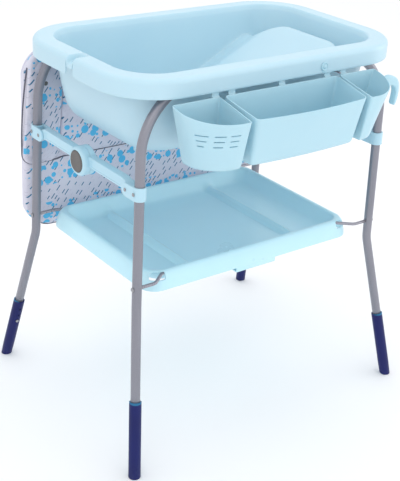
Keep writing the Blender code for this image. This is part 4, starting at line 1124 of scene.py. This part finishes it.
def left_plan():
    bow = [(-0.3 + 0.11 * (1.0 - cos(t)), 0.025 + 0.088 * sin(t)) for t in quarter(20)[1:-1]]
    return softened([(-0.3, 0.0), (-0.3, 0.025), *bow, (-0.174, 0.113), (-0.174, 0.0)], 0.008)


def right_plan():
    bow = [(0.188 + 0.093 * cos(t), 0.015 + 0.096 * sin(t)) for t in quarter(20)[-2:0:-1]]
    return softened([(0.168, 0.0), (0.168, 0.111), *bow, (0.281, 0.015), (0.281, 0.0)], 0.008)


def box_shell(name, plan, fixed_x, share_x, share_depth):
    """Open box: rounded base, walls that widen upwards, sloping rounded rim, rounded inner floor.

    A level's share is how far up the wall it stands; above 1 it lies on the rim."""
    back = MID_Y + BOX_BACK
    outline = [(x, back - depth) for x, depth in plan]
    rim, low_out, low_in = 0.00115, BOX_BASE + 0.0125, BOX_BASE + 0.015
    levels = [(-0.0026 - 0.0064 * (1.0 - sin(t)), BOX_BASE + 0.0125 * (1.0 - cos(t)), 0.0)
              for t in quarter(8)]
    levels += [(-0.0026 + 0.0023 * k / 8.0, low_out, k / 8.0) for k in range(1, 8)]
    levels += [(-0.00145 + rim * cos(t), rim * sin(t), 2.0) for t in turns(16)[:9]]
    levels += [(-0.005 + 0.0024 * k / 8.0, low_in, k / 8.0) for k in range(7, 0, -1)]
    levels += [(-0.005 - 0.0065 * (1.0 - sin(t)), BOX_BASE + 0.003 + 0.012 * (1.0 - cos(t)), 0.0)
               for t in reversed(quarter(8))]
    rings = []
    for grow, z, share in levels:
        ring = []
        for p in offset(outline, grow):
            start = (z - BOX_BASE) / 0.115
            up = 1.0 if share > 1.0 else start + (1.0 - start) * share
            x = fixed_x + (p.x - fixed_x) * (share_x + (1.0 - share_x) * up)
            y = back + (p.y - back) * (share_depth + (1.0 - share_depth) * up)
            top = BOX_TOP + BOX_SLOPE * (y - MID_Y + 0.245) - rim
            ring.append(Vector((x, y, top + z if share > 1.0 else z + (top - z) * share)))
        rings.append(ring)
    return raw(name, *skin(rings))


CLIP_HALF = 0.009


def clip(x):
    """Snap clip that holds the front bar from below."""
    y, reach, back = -LEG_TOP[1], TUBE_R + GAP, BOX_BACK
    low = BAR_Z - TUBE_R - GAP
    outer, tip = reach + 0.0024, BAR_Z + 0.005
    outline = [(back - 0.0012, 0.83), (back - 0.0012, 0.848), (back + 0.003, 0.852), (back + 0.003, low),
               (y - outer, low), (y - outer, tip), (y - reach, tip), (y - reach, low), (y + reach, low),
               (y + reach, tip), (y + reach + 0.0022, tip), (y + reach + 0.0022, low - 0.0024),
               (back + 0.0058, low - 0.0024), (back + 0.0058, 0.8505), (back + 0.0032, 0.8465),
               (back + 0.0032, 0.83)]
    return plate("clip", shifted(outline), x - CLIP_HALF, x + CLIP_HALF, 0.0005, 2)


def slot_tool(x, z, half, radius):
    """Round-ended bar, longer than the wall is thick."""
    outline = [(x + side * (half - radius) + side * y, z + side * up)
               for side in (1.0, -1.0) for y, up in arc(0.0, 0.0, radius, -90.0, 90.0, 10)]
    y0, y1 = MID_Y - 0.39, MID_Y - 0.305
    return prism("slot", [(px, y0, pz) for px, pz in outline], [(px, y1, pz) for px, pz in outline], 0.0)


def box_piece(name, body, pieces):
    return place(together(name, pieces), BLUE_BOX, body, [body], "tub_blue", 38.0)


def left_cup():
    shell = box_shell("cup", left_plan(), -0.174, 0.76, 0.8)
    tools = []
    for row in range(3):
        half = 0.0115 * (1.0 - 0.1 * row)
        tools += [slot_tool(x, 0.801 - 0.0125 * row, half, 0.0014) for x in (-0.272, -0.2405, -0.209)]
    cut(shell, together("slots", tools))
    return box_piece("left_cup_with_clip", "left_cup", [shell, clip(-0.184)])


def centre_box():
    shell = box_shell("box", centre_plan(), 0.0, 0.95, 0.82)
    return box_piece("centre_box_with_clips", "centre_box", [shell, clip(-0.14), clip(0.0), clip(0.135)])


def hook_strip():
    """Hook beside the cup: a flat strip that leaves the wall, turns down and ends in a round tip."""
    line = [(0.277, 0.838, 0.269, 0.809), (0.285, 0.8418, 0.284, 0.816), (0.296, 0.842, 0.295, 0.8185),
            (0.31, 0.836, 0.3055, 0.815), (0.319, 0.824, 0.3105, 0.808), (0.3225, 0.806, 0.3125, 0.8),
            (0.321, 0.786, 0.3118, 0.7868), (0.3168, 0.7735, 0.3102, 0.776)]
    stations = [(c, 1.0) for c in flowing(line, 6)]
    ox, oz, ix, iz = line[-1]
    ahead = Vector((ix - 0.3118, 0.0, iz - 0.7868)).normalized() * 0.0062
    for t in quarter(6)[1:]:
        step = ahead * sin(t)
        stations.append(((ox + step.x, oz + step.z, ix + step.x, iz + step.z), max(0.03, cos(t))))
    rings = []
    for (ox, oz, ix, iz), size in stations:
        middle = Vector(((ox + ix) / 2.0, 0.0, (oz + iz) / 2.0))
        half = Vector(((ox - ix) / 2.0, 0.0, (oz - iz) / 2.0))
        ring = []
        for t in turns(32):
            u = copysign(abs(cos(t)) ** 0.45, cos(t)) * size
            v = copysign(abs(sin(t)) ** 0.45, sin(t)) * (0.6 + 0.4 * size)
            ring.append(middle + half * u + Vector((0.0, MID_Y - 0.289 + 0.009 * v, 0.0)))
        rings.append(ring)
    return raw("hook", *skin(rings))


def right_cup():
    shell = box_shell("cup", right_plan(), 0.168, 0.64, 0.81)
    return box_piece("right_cup_with_hook", "right_cup", [shell, clip(0.184), hook_strip()])


def wire_hook():
    y = MID_Y - LEG_TOP[1]
    x, turn_z = 0.169, 0.854
    corners = [(x, y, BAR_Z - TUBE_R - 0.0006), (x, y, turn_z), (x, MID_Y + BOX_BACK - 0.004, turn_z)]
    wire = sweep("hook_wire", filleted(corners, [0.0, 0.006, 0.0], [0, 10, 0]), WIRE_R, 20, 0.0006)
    return place(wire, WIRE_PAINT, "front_frame", ["wire_hook"], "wire_grey", 50.0)


# ---------------------------------------------------------------- changing mat

BOLSTER_X, BOLSTER_HALF = 0.3165, 0.0505
RAISED_MID, RAISED_HALF = 0.696, 0.141
PAD_BACK, PAD_FRONT, PANEL_FRONT, BOLSTER_FRONT = 0.2841, 0.2618, 0.2536, 0.247


def barrel(z):
    """Share of the straight half width that the mat has at a height; its long sides bow outwards."""
    return 1.024 - 0.03 * ((z - 0.6) / 0.155) ** 2


def bowed(path):
    return [Vector((p.x * barrel(p.z), p.y, p.z)) for p in path]


def soft_block(name, cx, cz, hx, hz, corner, back, front, edge):
    """Closed block with round corners, thick along Y, its front edge rounded like stuffed cloth."""
    depth = back - front
    rings = []
    for along, inset in ((0.0, 0.5), (0.05, 0.2), (0.15, 0.04), (0.3, 0.0), (0.6, 0.0), (0.75, 0.1),
                         (0.87, 0.32), (0.95, 0.62), (1.0, 1.0)):
        pull = edge * inset
        flat = rounded(hx - pull, hz - pull, max(0.004, corner - pull), 0.0, [()] * 4, 10)
        rings.append(bowed(Vector((cx + p.x, MID_Y + back - depth * along, cz + p.y)) for p in flat))
    return raw(name, *skin(rings))


CLOTH = {"quality": 4, "mass": 0.25, "tension_stiffness": 10.0, "compression_stiffness": 10.0,
         "shear_stiffness": 5.0, "bending_stiffness": 0.4, "shrink_min": -0.03,
         "use_pressure": True, "vertex_group_mass": "held"}
CLOTH_FRAMES = 20


def swollen(obj, voxel, held, pressure, cap, pucker):
    """Even and ease the mesh, swell it by air pressure with its seams held, then subdivide it.
"""
    modified(obj, "REMESH", mode="VOXEL", voxel_size=voxel)
    modified(obj, "SMOOTH", factor=0.5, iterations=5)
    start = [v.co.copy() for v in obj.data.vertices]
    weights = [held(p) for p in start]
    group = obj.vertex_groups.new(name="held")
    for index, weight in enumerate(weights):
        group.add([index], weight, "REPLACE")
    cloth = obj.modifiers.new("cloth", "CLOTH")
    settings = cloth.settings
    for name, value in CLOTH.items():
        setattr(settings, name, value)
    settings.uniform_pressure_force = pressure
    settings.effector_weights.gravity = 0.0
    for frame_number in range(1, CLOTH_FRAMES + 1):
        bpy.context.scene.frame_set(frame_number)
    applied(obj)
    bpy.context.scene.frame_set(1)
    obj.vertex_groups.clear()
    for v, p, weight in zip(obj.data.vertices, start, weights):
        shift = v.co - p
        if shift.length > 1e-6:
            shift *= cap * tanh(shift.length / cap) / shift.length
        v.co = p + shift
        v.co.y += pucker(p)
    return modified(obj, "SUBSURF", levels=1, render_levels=1)


def edge_distance(x, z, cx, cz, hx, hz, corner):
    """Distance inside a bowed rounded rectangle in X and Z, below zero outside it."""
    x /= barrel(z)
    dx, dz = abs(x - cx) - hx + corner, abs(z - cz) - hz + corner
    return corner - hypot(max(dx, 0.0), max(dz, 0.0)) - min(max(dx, dz), 0.0)


def seam_grip(front, edge, *shape):
    """Hold weights: the back and the seam round the front are held, the middle is free."""
    def held(p):
        inside = edge_distance(p.x, p.z, *shape) - edge * 0.6
        if p.y > MID_Y + front + 0.01:
            return 1.0
        return 1.0 - soft_step(abs(inside), 0.001, 0.016)
    return held


def gathers(edge, size, *shape):
    """Small gathers in the cloth along its seam."""
    def pucker(p):
        near = edge_distance(p.x, p.z, *shape)
        ripple = sin(p.x * 310.0 + 1.7 * sin(p.z * 55.0))
        ripple += sin(p.z * 285.0 + 1.3 * sin(p.x * 47.0))
        return size * ripple * exp(-((near - edge * 1.6) / 0.011) ** 2)
    return pucker


def rounded_path(cx, cz, hx, hz, corner, y):
    """A closed path round a rounded rectangle in X and Z."""
    marks = [even_marks(max(2, int(length / 0.012))) for length in (hx * 2.0, hz * 2.0, hx * 2.0, hz * 2.0)]
    return bowed(Vector((cx + p.x, y, cz + p.y)) for p in rounded(hx, hz, corner, 0.0, marks, 10))


STITCH_PITCH, STITCH_LENGTH, STITCH_WIDTH = 0.0042, 0.0026, 0.0007


def stitches(name, path):
    """Short raised threads in a row along a path in the XZ plane."""
    points, faces = [], []
    travelled, wanted = 0.0, STITCH_PITCH / 2.0
    for a, b in zip(path, path[1:]):
        run = (b - a).length
        while wanted <= travelled + run and run > 0.0:
            middle = a.lerp(b, (wanted - travelled) / run)
            along = (b - a).normalized()
            side = along.cross(Vector((0.0, 1.0, 0.0))).normalized()
            base = len(points)
            for t, size in ((-1.0, 0.45), (-0.6, 1.0), (0.6, 1.0), (1.0, 0.45)):
                here = middle + along * (STITCH_LENGTH / 2.0 * t)
                sink = 0.00025 * (1.0 - size)
                for angle in turns(6):
                    points.append(here + side * (STITCH_WIDTH / 2.0 * size * cos(angle))
                                  + Vector((0.0, sink + STITCH_WIDTH * 0.4 * size * sin(angle), 0.0)))
            faces += [tuple(base + i for i in face)
                      for ring in range(3) for face in strip(ring, ring + 1, 6)]
            faces += [tuple(base + k for k in range(6)), tuple(base + 18 + k for k in range(6))]
            wanted += STITCH_PITCH
        travelled += run
    return raw(name, points, faces)


def seam_path():
    """Piping down the outer side of one bolster, under the raised part, and up the other side."""
    outer, low, corner = BOLSTER_X + BOLSTER_HALF - 0.0005, RAISED_MID - RAISED_HALF + 0.0005, 0.03
    side = [(outer, low + corner + 0.215 * (1.0 - k / 20.0)) for k in range(21)]
    side += [(outer - corner + corner * cos(t), low + corner - corner * sin(t))
             for t in quarter(10)[1:]]
    side += [(x, low + 0.003 * soft_step(-x, -0.275, -0.255))
             for x in (0.33 - 0.33 * k / 40.0 for k in range(1, 41))]
    path = [Vector((-x, MID_Y + 0.2573 + 0.002 * soft_step(-x, -0.275, -0.255), z)) for x, z in side]
    path += [Vector((-p.x, p.y, p.z)) for p in reversed(path[:-1])]
    return bowed(path)


def cushion(name, replaced, shape, thick, seam, voxel, air, reach, fold):
    """A stuffed cover: a block swollen by air while its seam is held, with gathers along the seam."""
    edge = thick[2]
    made = soft_block(name, *shape, *thick)
    swollen(made, voxel, seam_grip(seam, edge, *shape), air, reach, gathers(edge, fold, *shape))
    place(made, PRINT, "mat", [replaced], "mat_fabric", 180.0)


def mat():
    """Padded mat: plain back, printed pad, raised panel between two bolsters, piping and stitching."""
    middle, half = (MAT_TOP + MAT_BOTTOM) / 2.0, (MAT_TOP - MAT_BOTTOM) / 2.0
    back = soft_block("mat_back_cover", 0.0, middle, MAT_X - 0.004, half - 0.002, 0.062,
                      0.2885, 0.2836, 0.002)
    place(back, PLAIN, "mat", ["mat_board"], "mat_fabric", 60.0)

    cushion("mat_pad_cover", "mat_pad", (0.0, middle, MAT_X, half, 0.066),
            (PAD_BACK, PAD_FRONT, 0.009), PAD_FRONT, 0.006, 4.0, 0.0022, 0.0003)
    cushion("mat_panel_cover", "mat_panel", (0.0, RAISED_MID, 0.2655, RAISED_HALF - 0.003, 0.024),
            (PAD_FRONT + 0.003, PANEL_FRONT, 0.007), PANEL_FRONT - 0.004, 0.005, 4.0, 0.0026, 0.00035)
    for side, side_x in SIDES:
        shape = (side_x * BOLSTER_X, RAISED_MID, BOLSTER_HALF, RAISED_HALF, 0.03)
        cushion("mat_bolster_cover_" + side, "mat_bolster_" + side, shape,
                (PAD_FRONT + 0.004, BOLSTER_FRONT, 0.011), BOLSTER_FRONT + 0.001,
                0.0045, 5.0, 0.0045, 0.00035)
        inner = rounded_path(side_x * BOLSTER_X, RAISED_MID, BOLSTER_HALF - 0.0085, RAISED_HALF - 0.0085,
                             0.0225, MID_Y + BOLSTER_FRONT - 0.0004)
        thread = stitches("mat_stitches_" + side, inner + inner[:1])
        place(thread, PLAIN, "mat", (), "mat_fabric", 180.0)

    place(sweep("mat_piping_seam", seam_path(), 0.0019, 14), PIPING, "mat", (), "mat_fabric", 60.0)
    low_z = RAISED_MID - RAISED_HALF + 0.0105
    line = bowed(Vector((-0.26 + 0.52 * k / 60.0, MID_Y + PANEL_FRONT - 0.0004, low_z)) for k in range(61))
    place(stitches("mat_stitches_cross", line), PLAIN, "mat", (), "mat_fabric", 180.0)
    snap = [(0.0, 0.006), (0.0016, 0.006), (0.003, 0.0046), (0.0034, 0.002)]
    start = (-0.3145, MID_Y + BOLSTER_FRONT - 0.002, 0.76)
    stud = lathe("mat_snap", start, (0.0, -1.0, 0.0), snap, 32, 0.0006)
    place(stud, DISC, "mat", (), "disc_grey", 40.0)
    rim = rounded_path(0.0, middle, MAT_X - 0.0022, half - 0.0022, 0.064, MID_Y + PAD_FRONT + 0.006)
    low = [p for p in rim if p.z < MAT_BOTTOM + 0.012]
    low.sort(key=lambda p: p.x)
    place(sweep("mat_piping_bottom", low, 0.0021, 14), PIPING, "mat", (), "mat_fabric", 60.0)


def mat_hinge(side, side_x):
    """Lever behind the mat, strap from the rear bar, and the pin that joins them."""
    lever = [(0.2888, 0.801), (0.2925, 0.801), (0.2925, 0.838)]
    lever += arc(HINGE_Y, HINGE_Z, HINGE_R, -60.0, 130.0, 24)
    lever += [(0.2888, 0.848)]
    centre = side_x * MAT_ARM_X
    piece = plate("mat_lever_" + side, shifted(lever), centre - 0.008, centre + 0.008, 0.0006)
    place(piece, WIRE_PAINT, "mat", ["mat_arm_" + side], "wire_grey", 40.0)
    y, reach, low, top = LEG_TOP[1], TUBE_R + GAP, BAR_Z - TUBE_R - GAP, BAR_Z + 0.004
    strap = [(y - reach - 0.0022, top), (y - reach - 0.0022, low - 0.0025), (0.218, 0.853), (0.226, 0.849),
             (HINGE_Y + 0.002, 0.849), (HINGE_Y + HINGE_R, 0.855)]
    strap += arc(HINGE_Y, HINGE_Z, HINGE_R, 0.0, 180.0, 24)
    strap += [(HINGE_Y - HINGE_R, 0.864), (HINGE_Y - 0.014, 0.857), (0.24, 0.857), (0.234, 0.862),
              (y + reach + 0.0025, low - 0.002), (y + reach + 0.0025, top), (y + reach, top),
              (y + reach, low), (y - reach, low), (y - reach, top)]
    wide = spread(side_x, MAT_ARM_X + 0.0083, MAT_ARM_X + 0.0203)
    piece = plate("mat_strap_" + side, shifted(strap), *wide, 0.0005)
    place(piece, WIRE_PAINT, "rear_frame", ["mat_bracket_" + side], "wire_grey", 40.0)
    span = 0.0203 + 0.0083
    line = [(0.0, 0.0046), (0.0014, 0.0046), (0.0014, 0.003), (span + 0.002, 0.003), (span + 0.002, 0.0046),
            (span + 0.0032, 0.004)]
    fastener("mat_pin_" + side, side_x, MAT_ARM_X - 0.0097, MID_Y + HINGE_Y, HINGE_Z, line, "rear_frame")


# ---------------------------------------------------------------- stage, light and camera

WORLD_COLOUR, WORLD_STRENGTH = (0.96, 0.97, 1.0, 1.0), 1.06
LAMPS = (("key", 2.2, (-2.3, -2.4, 2.9), (0.0, 0.0, 0.6), 14.0),
         ("front", 2.6, (0.6, -3.4, 1.0), (0.0, 0.0, 0.42), 6.0),
         ("side", 1.6, (2.6, -1.0, 1.05), (0.0, 0.0, 0.42), 9.0),
         ("top", 2.4, (0.2, 0.5, 3.4), (0.0, 0.0, 0.7), 12.0))


def stage():
    bpy.ops.mesh.primitive_plane_add(size=14.0, location=(0.0, 0.0, 0.0))
    floor = bpy.context.object
    floor.name = "floor"
    g = Graph("floor_paper")
    paper = g.mix(g.cloudy(0.8, 2.0, 0.5), (0.955, 0.955, 0.955), (0.945, 0.945, 0.947))
    floor.data.materials.append(g.finish(paper, 0.9))
    world = bpy.data.worlds.new("studio")
    world.use_nodes = True
    back = world.node_tree.nodes["Background"]
    back.inputs["Color"].default_value = WORLD_COLOUR
    back.inputs["Strength"].default_value = WORLD_STRENGTH
    bpy.context.scene.world = world
    for name, size, spot, aim, power in LAMPS:
        lamp = bpy.data.lights.new(name, "AREA")
        lamp.energy = power
        lamp.size = size
        obj = linked(name, lamp)
        obj.location = spot
        obj.rotation_euler = (Vector(aim) - Vector(spot)).to_track_quat("-Z", "Y").to_euler()


AZIMUTH, ELEVATION, ROLL = map(radians, (-38.17, 25.8, 3.36))
EYE = (-1.4799, MID_Y - 1.8698, 1.519)
LENS = 77.49


def camera():
    bpy.context.scene.view_settings.view_transform = "Standard"
    across, ahead = cos(AZIMUTH), sin(AZIMUTH)
    back = Vector((ahead * cos(ELEVATION), -across * cos(ELEVATION), sin(ELEVATION)))
    right = Vector((across, ahead, 0.0))
    up = back.cross(right)
    right, up = right * cos(ROLL) + up * sin(ROLL), up * cos(ROLL) - right * sin(ROLL)
    data = bpy.data.cameras.new("camera")
    data.lens = LENS
    data.sensor_width = 36.0
    data.clip_start, data.clip_end = 0.05, 40.0
    obj = linked("camera", data)
    obj.matrix_world = Matrix((right, up, back)).transposed().to_4x4()
    obj.location = EYE
    bpy.context.scene.camera = obj


def build():
    for end, side_y in ENDS:
        frame_tube(end, side_y)
        cross_rod(end, side_y)
        for side, side_x in SIDES:
            frame_fasteners(end, side_y, side, side_x)
            foot(end, side_y, side, side_x)
            clamp(end, side_y, side, side_x)
            brace(end, side_y, side, side_x)
    for side, side_x in SIDES:
        hub_parts(side, side_x)
        mat_hinge(side, side_x)
    tub()
    rim_plug()
    tray()
    left_cup()
    centre_box()
    right_cup()
    wire_hook()
    mat()


build()
stage()
camera()
